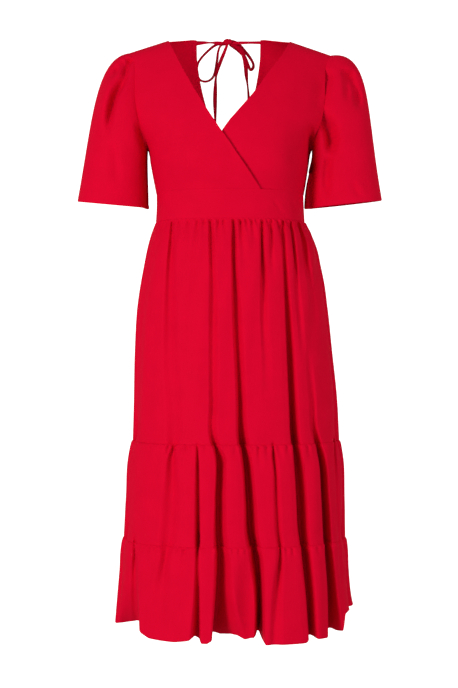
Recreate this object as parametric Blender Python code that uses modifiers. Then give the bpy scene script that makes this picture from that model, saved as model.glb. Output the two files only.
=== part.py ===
"""A tiered A-line midi dress with a wrap front, held open as if worn.

Run with: blender --background --python part.py

The frame is in metres, +Z up. The front faces -Y and +X is the wearer's left. The origin lies between
the two shoulder seams, where a wearer's shoulders hold the dress up.

Every cloth piece is an open surface, lofted through sections, with a Solidify modifier that puts the
wall on its inner side. The sections come from three forms:
- the torso, half rings that fall from the shoulder seam to the waistband;
- the skirt, half rings with folds pressed into them, down to the hem;
- the sleeve, which runs from the armhole to the sleeve hem.
"""

import math
from typing import NamedTuple

import bmesh
import bpy
import numpy as np

# ---------------------------------------------------------------- driving sizes
WALL = 0.0010  # cloth
SEAM = 0.0003  # gap between two pieces where they are sewn together
LAYER = 0.0034  # how far the under wrap front lies inside the upper one

Z_BAND = -0.293  # seam from bodice to waistband
Z_WAIST = -0.348  # seam from waistband to skirt
Z_MIDDLE = -0.781  # seam from upper to middle tier
Z_LOWER = -0.974  # seam from middle to lower tier
Z_HEM = -1.147
SQUARE = 2.3  # exponent of the half rings: 2 is an ellipse

NECK_X = 0.123  # half distance between the shoulder seams' neck ends
NECK_Z = 0.0142
SHOULDER_SLOPE = 0.325
SHOULDER_TILT = 0.012  # the right shoulder stands a little higher
ARM_TURN = math.radians(32)  # where the armhole's upper part lies on the torso ring
UNDERARM = 0.69  # fall of the underarm point
ARM_STEPS = 10  # rows from shoulder point to underarm
SIDE_STEPS = 4  # rows from underarm to waistband

BUST_X = 0.088
BUST_FALL = 0.78
BUST_OUT = 0.008
BUST_SPREAD = 0.05

KEYHOLE_X = 0.065  # half width of the opening at the back of the neck
KEYHOLE_MIDDLE = -0.003
KEYHOLE_TOP = 0.10  # fall at which the opening starts to narrow
KEYHOLE_ROWS = 8  # it ends this many rows down
KEYHOLE_SHAPE = 1.35

# fall is the share of the way from the shoulder seam down to the waistband.
TORSO = np.array([
    # fall, half width, front depth, back depth
    (0.00, 0.2331, 0.0003, 0.0003),
    (0.01, 0.2300, 0.018, 0.033),
    (0.05, 0.2240, 0.040, 0.060),
    (0.12, 0.2180, 0.058, 0.081),
    (0.25, 0.2150, 0.082, 0.102),
    (0.40, 0.2080, 0.104, 0.114),
    (0.55, 0.1890, 0.124, 0.117),
    (0.69, 0.1640, 0.136, 0.113),
    (0.80, 0.1580, 0.139, 0.106),
    (0.90, 0.1525, 0.132, 0.101),
    (1.00, 0.1465, 0.122, 0.097),
])
WRAP_EDGES = np.array([
    # fall, x of the upper (right) front's edge, x of the under (left) front's edge
    (0.00, -0.1232, 0.1204),
    (0.15, -0.1055, 0.0998),
    (0.27, -0.0890, 0.0774),
    (0.44, -0.0622, 0.0438),
    (0.57, -0.0385, 0.0123),
    (0.67, -0.0183, -0.0140),
    (0.79, 0.0089, -0.0430),
    (0.87, 0.0289, -0.0630),
    (1.00, 0.0590, -0.0950),
])

WAISTBAND = np.array([
    # z, right half width, left half width, front depth, back depth
    (Z_WAIST, 0.1480, 0.1490, 0.113, 0.096),
    (-0.320, 0.1465, 0.1475, 0.116, 0.096),
    (Z_BAND, 0.1465, 0.1465, 0.122, 0.097),
])
UPPER_TIER = np.array([
    (Z_MIDDLE, 0.194, 0.218, 0.151, 0.153),
    (-0.702, 0.192, 0.214, 0.148, 0.150),
    (-0.606, 0.190, 0.204, 0.144, 0.146),
    (-0.510, 0.184, 0.194, 0.139, 0.140),
    (-0.438, 0.172, 0.182, 0.131, 0.127),
    (-0.390, 0.162, 0.170, 0.124, 0.114),
    (-0.366, 0.155, 0.160, 0.118, 0.104),
    (Z_WAIST, 0.148, 0.149, 0.113, 0.096),
])
MIDDLE_TIER = np.array([
    (Z_LOWER, 0.212, 0.230, 0.166, 0.168),
    (-0.894, 0.208, 0.229, 0.163, 0.165),
    (-0.800, 0.200, 0.223, 0.157, 0.159),
    (Z_MIDDLE, 0.194, 0.218, 0.151, 0.153),
])
LOWER_TIER = np.array([
    (Z_HEM, 0.229, 0.2455, 0.184, 0.184),
    (-1.086, 0.224, 0.2400, 0.178, 0.179),
    (-1.038, 0.220, 0.2370, 0.175, 0.177),
    (-0.994, 0.217, 0.2345, 0.171, 0.174),
    (Z_LOWER, 0.212, 0.2300, 0.166, 0.168),
])
HALF_WIDTHS = np.concatenate([LOWER_TIER, MIDDLE_TIER[1:], UPPER_TIER[1:]])[:, :3]
WAIST_EASE = 0.007  # the folds open out over this much below the waistband
# x, and how much higher than level the hem hangs there
FRONT_HEM = np.array([
    (-0.2350, 0.007), (-0.2250, 0.008), (-0.1880, 0.013), (-0.1810, 0.015), (-0.1700, 0.009),
    (-0.1560, 0.000), (-0.1340, -0.003), (-0.1050, -0.003), (-0.0780, 0.002), (-0.0660, 0.009),
    (-0.0615, 0.004), (-0.0560, -0.001), (-0.0430, -0.001), (-0.0370, 0.003), (-0.0200, 0.001),
    (0.0000, 0.008), (0.0120, 0.008), (0.0270, 0.002), (0.0420, 0.006), (0.0520, 0.008),
    (0.0570, 0.003), (0.0600, -0.002), (0.0660, -0.004), (0.1450, -0.004), (0.1520, 0.000),
    (0.1580, 0.001), (0.1880, 0.000), (0.1950, 0.004), (0.2050, 0.003), (0.2150, 0.006),
    (0.2190, 0.009), (0.2235, 0.038), (0.2330, 0.042), (0.2460, 0.044),
])
BACK_HEM = np.array([
    (-0.2350, 0.007), (-0.1800, 0.002), (-0.1200, -0.002), (-0.0300, 0.001), (0.0800, -0.002),
    (0.1300, 0.000), (0.1650, 0.011), (0.1900, 0.023), (0.2100, 0.032), (0.2300, 0.039), (0.2460, 0.044),
])


class Fold(NamedTuple):
    """A trough in the skirt. Beyond its rows it keeps the shape of the last one."""

    heading: float  # degrees its bottom turns from the front or back plane's normal to +X
    rows: tuple  # z, x, depth, and its widths from its bottom to its edge at -X and at +X
    beside: bool = False  # its x are shares of the half width at their height


FRONT_FOLDS = (
    Fold(75, (
        (Z_WAIST, -0.980, 0.002, 0.006, 0.006), (-0.510, -0.980, 0.010, 0.012, 0.014),
        (Z_MIDDLE, -0.980, 0.013, 0.014, 0.016), (Z_LOWER, -0.980, 0.014, 0.016, 0.018),
        (Z_HEM, -0.980, 0.003, 0.020, 0.022),
    ), True),
    Fold(0, (
        (-0.990, -0.182, 0.000, 0.030, 0.012), (-1.060, -0.182, 0.010, 0.060, 0.012),
        (-1.105, -0.181, 0.036, 0.100, 0.011), (Z_HEM, -0.180, 0.078, 0.130, 0.010),
    )),
    Fold(0, (
        (-0.955, -0.184, 0.000, 0.006, 0.006), (-0.985, -0.184, 0.011, 0.007, 0.007),
        (-1.040, -0.184, 0.009, 0.012, 0.012), (-1.120, -0.184, 0.005, 0.015, 0.015),
    )),
    Fold(0, (
        (Z_WAIST, -0.1120, 0.006, 0.005, 0.007), (-0.390, -0.1135, 0.010, 0.008, 0.011),
        (-0.467, -0.1155, 0.010, 0.014, 0.018), (-0.544, -0.1150, 0.009, 0.018, 0.023),
        (-0.620, -0.1130, 0.008, 0.022, 0.025), (-0.697, -0.1075, 0.008, 0.023, 0.024),
        (-0.775, -0.1075, 0.009, 0.019, 0.018), (-0.797, -0.1085, 0.012, 0.015, 0.014),
        (-0.887, -0.1115, 0.013, 0.024, 0.022), (-0.960, -0.1170, 0.011, 0.023, 0.020),
        (-0.992, -0.1215, 0.012, 0.016, 0.015), (-1.060, -0.1290, 0.008, 0.026, 0.024),
        (Z_HEM, -0.1330, 0.004, 0.032, 0.028),
    )),
    Fold(5, (
        (-0.775, -0.0620, 0.000, 0.004, 0.004), (-0.790, -0.0620, 0.006, 0.004, 0.004),
        (-0.887, -0.0615, 0.015, 0.006, 0.006), (-0.940, -0.0615, 0.022, 0.006, 0.006),
        (-0.964, -0.0615, 0.028, 0.006, 0.006), (-0.985, -0.0620, 0.014, 0.005, 0.005),
        (-1.060, -0.0615, 0.018, 0.008, 0.006), (Z_HEM, -0.0635, 0.034, 0.013, 0.010),
    )),
    Fold(-6, (
        (Z_WAIST, -0.0375, 0.008, 0.006, 0.006), (-0.390, -0.0350, 0.010, 0.007, 0.008),
        (-0.467, -0.0330, 0.009, 0.009, 0.010), (-0.697, -0.0315, 0.010, 0.010, 0.012),
        (-0.772, -0.0310, 0.015, 0.009, 0.011), (-0.797, -0.0225, 0.028, 0.009, 0.012),
        (-0.887, -0.0195, 0.034, 0.010, 0.014), (-0.966, -0.0180, 0.039, 0.013, 0.017),
        (-0.992, -0.0160, 0.042, 0.014, 0.019), (-1.060, -0.0175, 0.050, 0.014, 0.026),
        (Z_HEM, -0.0225, 0.095, 0.013, 0.056),
    )),
    Fold(0, (
        (-0.960, 0.036, 0.000, 0.030, 0.010), (-1.040, 0.038, 0.012, 0.035, 0.016),
        (Z_HEM, 0.038, 0.025, 0.040, 0.020),
    )),
    Fold(-3, (
        (Z_WAIST, 0.0065, 0.009, 0.005, 0.006), (-0.390, 0.0075, 0.014, 0.006, 0.007),
        (-0.467, 0.0090, 0.016, 0.007, 0.009), (-0.544, 0.0130, 0.016, 0.009, 0.013),
        (-0.697, 0.0190, 0.023, 0.009, 0.014), (-0.755, 0.0210, 0.030, 0.010, 0.014),
        (-0.776, 0.0235, 0.037, 0.011, 0.015), (-0.800, 0.0290, 0.040, 0.011, 0.013),
        (-0.887, 0.0370, 0.044, 0.011, 0.014), (-0.955, 0.0420, 0.049, 0.014, 0.014),
        (-0.992, 0.0510, 0.052, 0.016, 0.013), (-1.040, 0.0575, 0.056, 0.016, 0.010),
        (-1.076, 0.0590, 0.060, 0.015, 0.011), (Z_HEM, 0.0600, 0.092, 0.016, 0.013),
    )),
    Fold(-5, (
        (Z_WAIST, 0.0615, 0.008, 0.005, 0.006), (-0.390, 0.0620, 0.014, 0.006, 0.007),
        (-0.430, 0.0622, 0.016, 0.006, 0.008), (-0.467, 0.0640, 0.011, 0.007, 0.009),
        (-0.544, 0.0645, 0.006, 0.008, 0.011), (-0.620, 0.0685, 0.003, 0.010, 0.013),
        (-0.697, 0.0700, 0.000, 0.012, 0.014),
    )),
    Fold(0, (
        (Z_WAIST, 0.0790, 0.007, 0.004, 0.005), (-0.390, 0.0795, 0.006, 0.005, 0.006),
        (-0.430, 0.0810, 0.002, 0.006, 0.007), (-0.467, 0.0820, 0.000, 0.007, 0.008),
    )),
    Fold(-4, (
        (-0.774, 0.0815, 0.000, 0.004, 0.004), (-0.792, 0.0820, 0.012, 0.005, 0.006),
        (-0.830, 0.0853, 0.012, 0.005, 0.008), (-0.887, 0.0872, 0.010, 0.006, 0.010),
        (-0.944, 0.0900, 0.010, 0.006, 0.010), (-0.985, 0.0950, 0.013, 0.005, 0.007),
        (-1.000, 0.0940, 0.015, 0.005, 0.008), (-1.040, 0.0890, 0.012, 0.008, 0.012),
        (-1.076, 0.0865, 0.009, 0.010, 0.014), (Z_HEM, 0.0830, 0.006, 0.012, 0.020),
    )),
    Fold(-5, (
        (Z_WAIST, 0.1020, 0.009, 0.005, 0.006), (-0.390, 0.1030, 0.010, 0.006, 0.007),
        (-0.467, 0.1066, 0.014, 0.006, 0.009), (-0.544, 0.1105, 0.020, 0.007, 0.011),
        (-0.620, 0.1150, 0.026, 0.008, 0.012), (-0.697, 0.1189, 0.032, 0.009, 0.013),
        (-0.772, 0.1235, 0.042, 0.010, 0.013), (-0.800, 0.1280, 0.042, 0.011, 0.012),
        (-0.887, 0.1355, 0.043, 0.011, 0.014), (-0.960, 0.1400, 0.044, 0.012, 0.015),
        (-0.992, 0.1445, 0.044, 0.013, 0.014), (-1.060, 0.1515, 0.042, 0.012, 0.014),
        (Z_HEM, 0.1565, 0.050, 0.009, 0.014),
    )),
    Fold(-5, (
        (Z_WAIST, 0.1175, 0.009, 0.004, 0.005), (-0.390, 0.1222, 0.012, 0.005, 0.006),
        (-0.430, 0.1260, 0.012, 0.006, 0.007), (-0.467, 0.1280, 0.006, 0.007, 0.008),
        (-0.544, 0.1345, 0.004, 0.008, 0.010), (-0.620, 0.1400, 0.000, 0.010, 0.012),
    )),
    Fold(-8, (
        (Z_WAIST, 0.1325, 0.009, 0.004, 0.006), (-0.390, 0.1425, 0.017, 0.006, 0.014),
        (-0.430, 0.1475, 0.012, 0.007, 0.014), (-0.467, 0.1540, 0.007, 0.010, 0.016),
        (-0.560, 0.1650, 0.000, 0.016, 0.020),
    )),
    Fold(-5, (
        (-0.600, 0.1500, 0.000, 0.010, 0.012), (-0.697, 0.1580, 0.007, 0.009, 0.011),
        (-0.755, 0.1610, 0.013, 0.009, 0.012), (-0.778, 0.1670, 0.022, 0.009, 0.013),
        (-0.800, 0.1725, 0.034, 0.009, 0.015), (-0.887, 0.1810, 0.042, 0.010, 0.016),
        (-0.974, 0.1865, 0.046, 0.010, 0.018), (-1.060, 0.1935, 0.050, 0.010, 0.020),
        (Z_HEM, 0.1950, 0.070, 0.009, 0.040),
    )),
    Fold(-8, (
        (-0.765, 0.2030, 0.000, 0.003, 0.004), (-0.785, 0.2035, 0.009, 0.004, 0.006),
        (-0.830, 0.2060, 0.006, 0.004, 0.006), (-0.920, 0.2095, 0.003, 0.005, 0.008),
        (-1.000, 0.2130, 0.003, 0.006, 0.010), (-1.080, 0.2170, 0.000, 0.008, 0.010),
    )),
    Fold(-75, (
        (Z_WAIST, 0.980, 0.002, 0.006, 0.006), (-0.510, 0.980, 0.010, 0.014, 0.012),
        (Z_MIDDLE, 0.980, 0.014, 0.016, 0.014), (Z_LOWER, 0.980, 0.018, 0.018, 0.016),
        (Z_HEM, 0.980, 0.022, 0.022, 0.020),
    ), True),
)
BACK_FOLDS = (
    Fold(40, (
        (Z_WAIST, -0.912, 0.004, 0.006, 0.007), (-0.560, -0.920, 0.010, 0.011, 0.013),
        (Z_MIDDLE, -0.930, 0.017, 0.013, 0.016), (Z_LOWER, -0.940, 0.026, 0.019, 0.023),
        (Z_HEM, -0.935, 0.042, 0.028, 0.032),
    ), True),
    Fold(8, (
        (Z_WAIST, -0.112, 0.005, 0.006, 0.007), (-0.560, -0.138, 0.010, 0.008, 0.011),
        (Z_MIDDLE, -0.146, 0.022, 0.010, 0.014), (Z_LOWER, -0.156, 0.046, 0.012, 0.024),
        (Z_HEM, -0.162, 0.078, 0.014, 0.034),
    )),
    Fold(-5, (
        (Z_WAIST, -0.080, 0.006, 0.007, 0.006), (-0.560, -0.094, 0.013, 0.010, 0.008),
        (Z_MIDDLE, -0.098, 0.026, 0.013, 0.009), (Z_LOWER, -0.104, 0.050, 0.020, 0.010),
        (Z_HEM, -0.110, 0.088, 0.030, 0.010),
    )),
    Fold(0, (
        (Z_WAIST, -0.046, 0.005, 0.005, 0.006), (-0.560, -0.050, 0.005, 0.007, 0.008),
        (Z_MIDDLE, -0.046, 0.009, 0.009, 0.010), (Z_LOWER, -0.052, 0.024, 0.012, 0.014),
        (Z_HEM, -0.050, 0.034, 0.016, 0.018),
    )),
    Fold(-5, (
        (Z_WAIST, -0.008, 0.008, 0.006, 0.007), (-0.560, 0.000, 0.017, 0.008, 0.010),
        (Z_MIDDLE, 0.006, 0.034, 0.009, 0.013), (Z_LOWER, 0.004, 0.064, 0.009, 0.022),
        (Z_HEM, 0.012, 0.112, 0.010, 0.032),
    )),
    Fold(0, (
        (Z_WAIST, 0.034, 0.005, 0.006, 0.006), (-0.560, 0.044, 0.005, 0.008, 0.008),
        (Z_MIDDLE, 0.056, 0.010, 0.010, 0.009), (Z_LOWER, 0.066, 0.020, 0.013, 0.013),
        (Z_HEM, 0.062, 0.026, 0.016, 0.018),
    )),
    Fold(6, (
        (Z_WAIST, 0.068, 0.006, 0.007, 0.006), (-0.560, 0.084, 0.014, 0.010, 0.008),
        (Z_MIDDLE, 0.100, 0.030, 0.013, 0.009), (Z_LOWER, 0.112, 0.061, 0.021, 0.010),
        (Z_HEM, 0.122, 0.096, 0.030, 0.011),
    )),
    Fold(-8, (
        (Z_WAIST, 0.106, 0.005, 0.006, 0.007), (-0.560, 0.132, 0.007, 0.008, 0.009),
        (Z_MIDDLE, 0.150, 0.013, 0.009, 0.011), (Z_LOWER, 0.166, 0.038, 0.011, 0.017),
        (Z_HEM, 0.178, 0.060, 0.014, 0.024),
    )),
    Fold(-45, (
        (Z_WAIST, 0.890, 0.004, 0.007, 0.006), (-0.560, 0.900, 0.011, 0.013, 0.010),
        (Z_MIDDLE, 0.915, 0.018, 0.016, 0.012), (Z_LOWER, 0.930, 0.027, 0.022, 0.019),
        (Z_HEM, 0.930, 0.040, 0.032, 0.028),
    ), True),
)
# Columns across a fold, in widths, the most needed ones first. A shallow fold has only the first three.
FOLD_COLUMNS = (0.0, -1.0, 1.0, -0.5, 0.5)
SHALLOW = 0.012
LEAST_DEPTH = 0.004  # a fold less deep than this has no columns of its own
LEAST_COLUMN = 0.0045
MOST_COLUMN = 0.032
NEAR = 0.01  # a fold that ends this close to a tier's seam runs up to it
SEAM_STAND = 0.003  # the cloth runs straight down this far either side of a tier's seam
UPPER_ROWS = (0.0, 0.12, 0.40, 1.0)  # shares of the tier's height
MIDDLE_ROWS = (0.0, 0.45, 1.0)
LOWER_ROWS = (0.0, 0.50, 1.0)


class Sleeve(NamedTuple):
    """side is -1 for the wearer's right. The hem is an oval, and out and in are its furthest x."""

    side: int
    hem_out: float
    hem_in: float
    hem_turn: float
    puff_out: float
    puff_up: float


SLEEVES = {
    "sleeve_right": Sleeve(-1, 0.305, 0.164, math.radians(4), 0.066, -0.008),
    "sleeve_left": Sleeve(1, 0.305, 0.147, math.radians(21), 0.084, 0.014),
}
SLEEVE_HEM_Z = -0.312
SLEEVE_HEM_RISE = 0.006  # the hem's outer point is this much higher
SLEEVE_HEM_DIP = 0.006  # and its front is this much lower
SLEEVE_HEM_DEPTH = 0.062
SLEEVE_ROWS = 7
SLEEVE_CROWDING = 1.25  # the rows lie closer together near the armhole
CAP_PUFF = 0.020  # fullness of the cap to front and back
ARM_START = 0.003  # how far outward the sleeve leaves the underarm
UNDERARM_DROP = 0.034
SLEEVE_LEAN = 0.030  # how much the outer side leans outward as it reaches the hem
SLEEVE_INNER_PULL = 0.060  # how straight the inner side reaches the hem
SLEEVE_OUTER_PULL = 0.160

TIE_STEP = 0.014
TIE_LOOK = 0.01  # the share of a tie's route over which its direction is taken
KNOT_AT = (-0.0045, 0.0720, 0.0298)
KNOT_RADII = (0.0105, 0.0055, 0.0062)


class Way(NamedTuple):
    """A point of a tie's route. turn is 0 where the flat side faces front, in degrees."""

    x: float
    y: float
    z: float
    width: float
    turn: float


TIES = {
    "tie_strap_right": (
        Way(-0.0655, 0.0520, 0.0228, 0.010, 0), Way(-0.0530, 0.0580, 0.0250, 0.007, 10),
        Way(-0.0400, 0.0635, 0.0262, 0.005, 36), Way(-0.0270, 0.0690, 0.0270, 0.007, 10),
        Way(-0.0158, 0.0722, 0.0276, 0.005, 0),
    ),
    "tie_strap_left": (
        Way(0.0068, 0.0722, 0.0276, 0.005, 0), Way(0.0220, 0.0690, 0.0270, 0.007, 12),
        Way(0.0420, 0.0620, 0.0260, 0.007, 30), Way(0.0630, 0.0530, 0.0240, 0.008, 20),
    ),
    "tie_loop_right": (
        Way(-0.0135, 0.0790, 0.0280, 0.006, 30), Way(-0.0300, 0.0855, 0.0257, 0.007, 50),
        Way(-0.0506, 0.0930, 0.0104, 0.009, 66), Way(-0.0650, 0.1010, -0.0060, 0.009, 66),
        Way(-0.0682, 0.1070, -0.0220, 0.009, 60), Way(-0.0640, 0.1110, -0.0390, 0.009, 54),
        Way(-0.0511, 0.1125, -0.0442, 0.009, 50), Way(-0.0382, 0.1120, -0.0385, 0.009, 50),
        Way(-0.0312, 0.1080, -0.0260, 0.009, 50), Way(-0.0268, 0.1010, -0.0030, 0.009, 50),
        Way(-0.0242, 0.0930, 0.0145, 0.007, 46), Way(-0.0180, 0.0850, 0.0255, 0.006, 30),
        Way(-0.0080, 0.0795, 0.0258, 0.005, 10),
    ),
    "tie_loop_left": (
        Way(0.0022, 0.0790, 0.0312, 0.009, 0), Way(0.0143, 0.0835, 0.0284, 0.009, 5),
        Way(0.0281, 0.0900, 0.0169, 0.009, 28), Way(0.0400, 0.0960, 0.0040, 0.009, 38),
        Way(0.0476, 0.1010, -0.0080, 0.009, 48), Way(0.0480, 0.1080, -0.0155, 0.009, 50),
        Way(0.0430, 0.1160, -0.0180, 0.009, 50), Way(0.0385, 0.1200, -0.0100, 0.009, 50),
        Way(0.0310, 0.1160, 0.0070, 0.008, 40), Way(0.0170, 0.1040, 0.0190, 0.007, 20),
        Way(0.0020, 0.0880, 0.0255, 0.005, 10),
    ),
    "tie_tail_right": (
        Way(-0.0060, 0.0716, 0.0230, 0.005, 0), Way(-0.0122, 0.0770, 0.0080, 0.007, 10),
        Way(-0.0204, 0.0840, -0.0110, 0.008, 25), Way(-0.0286, 0.0940, -0.0370, 0.007, 52),
        Way(-0.0302, 0.1010, -0.0580, 0.009, 32), Way(-0.0310, 0.1090, -0.0830, 0.009, 12),
        Way(-0.0308, 0.1170, -0.1060, 0.009, 40), Way(-0.0306, 0.1212, -0.1280, 0.009, 58),
        Way(-0.0312, 0.1202, -0.1640, 0.009, 20), Way(-0.0325, 0.1180, -0.2080, 0.009, 0),
    ),
    "tie_tail_left": (
        Way(0.0056, 0.0745, 0.0240, 0.005, 0), Way(0.0150, 0.0780, 0.0202, 0.007, 5),
        Way(0.0240, 0.0810, 0.0125, 0.009, 10), Way(0.0298, 0.0840, -0.0020, 0.009, 12),
        Way(0.0324, 0.0875, -0.0180, 0.009, 14), Way(0.0340, 0.0940, -0.0350, 0.009, 28),
        Way(0.0364, 0.1020, -0.0530, 0.007, 54), Way(0.0386, 0.1115, -0.0750, 0.008, 50),
        Way(0.0386, 0.1205, -0.1050, 0.009, 46), Way(0.0370, 0.1215, -0.1500, 0.009, 10),
        Way(0.0372, 0.1190, -0.1950, 0.009, 0),
    ),
}

CREPE = (0.72, 0.004, 0.028, 1.0)  # red, the same cloth all over


# ---------------------------------------------------------------- curves through tables
def smooth(table, at):
    """The columns of a table at this position of its first column, on a smooth curve through its rows."""
    position, values = table[:, 0], table[:, 1:]
    slope = np.gradient(values, position, axis=0)
    i = int(np.clip(np.searchsorted(position, at) - 1, 0, len(position) - 2))
    step = position[i + 1] - position[i]
    u = (at - position[i]) / step
    return (
        (1 + 2 * u) * (1 - u) ** 2 * values[i]
        + u * (1 - u) ** 2 * step * slope[i]
        + u * u * (3 - 2 * u) * values[i + 1]
        + u * u * (u - 1) * step * slope[i + 1]
    )


def ramp(value, low, high):
    """0 below low, 1 above high, and smooth between them."""
    u = np.clip((value - low) / (high - low), 0, 1)
    return u * u * (3 - 2 * u)


# ---------------------------------------------------------------- half rings
def half_ring(angle, right, left, depth, side):
    """x and y on a half ring. angle is 0 at the right side seam and pi at the left. side is -1 at front."""
    across, away = np.cos(angle), np.abs(np.sin(angle))
    width = np.where(across > 0, right, left)
    x = -np.sign(across) * width * np.abs(across) ** (2 / SQUARE)
    return x, side * (depth * away ** (2 / SQUARE) + SEAM / 2)


def angle_at(x, half_width):
    """The angle of a half ring at which it has this x."""
    return math.acos(-np.sign(x) * min(abs(x) / half_width, 1) ** (SQUARE / 2))


# ---------------------------------------------------------------- bodice
def torso_row(fall):
    """Half width, front depth and back depth of the torso at this fall."""
    rows = TORSO.copy()
    rows[:, 0] = np.sqrt(rows[:, 0])  # so that the top of the shoulder is round
    return smooth(rows, math.sqrt(fall))


def torso(fall, angle, side):
    """Points on the torso, at one fall and an array of angles."""
    half_width, front, back = torso_row(fall)
    depth = front if side < 0 else back
    x, y = half_ring(np.asarray(angle, float), half_width, half_width, depth, side)
    shoulder = NECK_Z + (NECK_X - np.abs(x)) * SHOULDER_SLOPE - x * SHOULDER_TILT
    z = shoulder + (Z_BAND - shoulder) * fall
    if side < 0:
        apart = ((np.abs(x) - BUST_X) / BUST_SPREAD) ** 2 + ((fall - BUST_FALL) / 0.17) ** 2
        y = y - BUST_OUT * np.exp(-apart) * ramp(1 - fall, 0.0, 0.12)
    return np.stack([x, y, z], axis=-1)


def armhole_angle(fall):
    """Where the armhole, and below it the side seam, lies on the torso's half ring."""
    if fall >= UNDERARM:
        return 0.0
    return ARM_TURN * math.sqrt(1 - (fall / UNDERARM) ** 3)


def armhole_falls():
    """The falls of the bodice's rows down to the underarm."""
    return [UNDERARM * (1 - math.cos(math.pi * i / ARM_STEPS)) / 2 for i in range(ARM_STEPS + 1)]


def bodice_falls():
    below = [UNDERARM + (1 - UNDERARM) * (i + 1) / SIDE_STEPS for i in range(SIDE_STEPS)]
    return armhole_falls() + below[:-1] + [1 - SEAM / 2 / abs(Z_BAND)]


def wrap_front(side, columns):
    """The surface of one wrap front. side is -1 for the wearer's right, which lies on top."""
    rows = []
    for fall in bodice_falls():
        half_width = torso_row(fall)[0]
        arm = armhole_angle(fall)
        upper_edge, under_edge = smooth(WRAP_EDGES, fall)
        if side < 0:
            angles = np.linspace(arm, angle_at(upper_edge, half_width), columns + 1)
            rows.append(torso(fall, angles, -1))
            continue
        angles = np.linspace(angle_at(under_edge, half_width), math.pi - arm, columns + 1)
        row = torso(fall, angles, -1)
        inset = LAYER * ramp(fall, 0.12, 0.45) * (1 - ramp(row[:, 0], 0.06, 0.11))
        row[:, 1] += inset
        rows.append(row)
    return np.array(rows)


def keyhole_x(fall):
    """Half width of the back's opening, from the shoulder seam's neck end to its lowest point."""
    corner, bottom = armhole_falls()[1], armhole_falls()[KEYHOLE_ROWS]
    if fall <= corner:
        return NECK_X + (KEYHOLE_X - NECK_X) * math.sqrt(fall / corner)
    share = min(max((fall - KEYHOLE_TOP) / (bottom - KEYHOLE_TOP), 0), 1)
    return KEYHOLE_X * math.sqrt(1 - share**KEYHOLE_SHAPE)


def back_halves(columns):
    """The back's right half and left half. Below the keyhole they meet, and are one piece."""
    halves = [], []
    for fall in bodice_falls():
        half_width, arm = torso_row(fall)[0], armhole_angle(fall)
        opening = keyhole_x(fall)
        right = np.linspace(arm, angle_at(KEYHOLE_MIDDLE - opening, half_width), columns + 1)
        left = np.linspace(angle_at(KEYHOLE_MIDDLE + opening, half_width), math.pi - arm, columns + 1)
        halves[0].append(torso(fall, right, 1))
        halves[1].append(torso(fall, left, 1))
    return [np.array(half) for half in halves]


def waistband(side, columns, rows):
    """One half of the waistband, from its top seam down."""
    made = []
    for z in np.linspace(Z_BAND - SEAM / 2, Z_WAIST + SEAM / 2, rows + 1):
        right, left, front, back = smooth(WAISTBAND, z)
        depth = front if side < 0 else back
        x, y = half_ring(np.linspace(0, math.pi, columns + 1), right, left, depth, side)
        made.append(np.stack([x, y, np.full(len(x), z)], axis=-1))
    return np.array(made)


# ---------------------------------------------------------------- skirt
RING_ANGLES = np.linspace(0, math.pi, 361)


def fold_at(fold, z):
    """x, depth and the two widths of a fold at this height."""
    rows = np.array(fold.rows)[::-1]
    x, depth, right, left = smooth(rows, min(max(z, rows[0, 0]), rows[-1, 0]))
    if fold.beside:
        x *= smooth(HALF_WIDTHS, z)[int(x > 0)]
    return x, max(depth, 0) * ramp(Z_WAIST - z, 0, WAIST_EASE), right, left


def plain_ring(table, z, side):
    """The half ring without folds: x, y and the way along it."""
    right, left, front, back = smooth(table, z)
    x, y = half_ring(RING_ANGLES, right, left, front if side < 0 else back, side)
    return x, y, np.concatenate([[0], np.cumsum(np.hypot(np.diff(x), np.diff(y)))])


def guides(x, along, z, through):
    """The way along the ring to its ends and to each fold that runs all down the tier."""
    return np.array([0.0, *(np.interp(fold_at(fold, z)[0], x, along) for fold in through), along[-1]])


def tier_row(table, z, side, folds, through, columns):
    """One row of a tier. A column's number is a guide's number plus a share of the way to the next."""
    x, y, along = plain_ring(table, z, side)
    lines = guides(x, along, z, through)
    at = np.interp(columns, np.arange(len(lines)), lines)
    row = np.column_stack([np.interp(at, along, x), np.interp(at, along, y), np.full(len(at), z)])
    for fold in folds:
        middle, depth, before, after = fold_at(fold, z)
        centre = np.interp(middle, x, along)
        away = (at - centre) / np.where(at < centre, before, after)
        push = depth * (1 + np.cos(math.pi * np.clip(away, -1, 1))) / 2
        row[:, 0] += push * math.sin(math.radians(fold.heading))
        row[:, 1] -= side * push * math.cos(math.radians(fold.heading))
    row[0] = x[0], y[0], z
    row[-1] = x[-1], y[-1], z
    return row


def tier_columns(table, z, side, folds, through):
    """Where a tier's columns lie: some across each fold, and more where two folds are far apart."""
    x, _, along = plain_ring(table, z, side)
    ranked = [(0, 0.0), (0, along[-1])]
    for fold in folds:
        middle, depth, before, after = fold_at(fold, z)
        if depth < LEAST_DEPTH:
            continue
        centre = np.interp(middle, x, along)
        count = len(FOLD_COLUMNS) if depth > SHALLOW else 3
        for rank, share in enumerate(FOLD_COLUMNS[:count]):
            ranked.append((rank, centre + share * (before if share < 0 else after)))
    kept = []
    for _, place in sorted(ranked):
        if 0 <= place <= along[-1] and all(abs(place - other) > LEAST_COLUMN for other in kept):
            kept.append(place)
    kept.sort()
    places = [0.0]
    for place in kept[1:]:
        gap = place - places[-1]
        parts = int(gap // MOST_COLUMN) + 1
        places += [places[-1] + gap * (i + 1) / parts for i in range(parts)]
    lines = guides(x, along, z, through)
    return np.interp(places, lines, np.arange(len(lines)))


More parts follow.
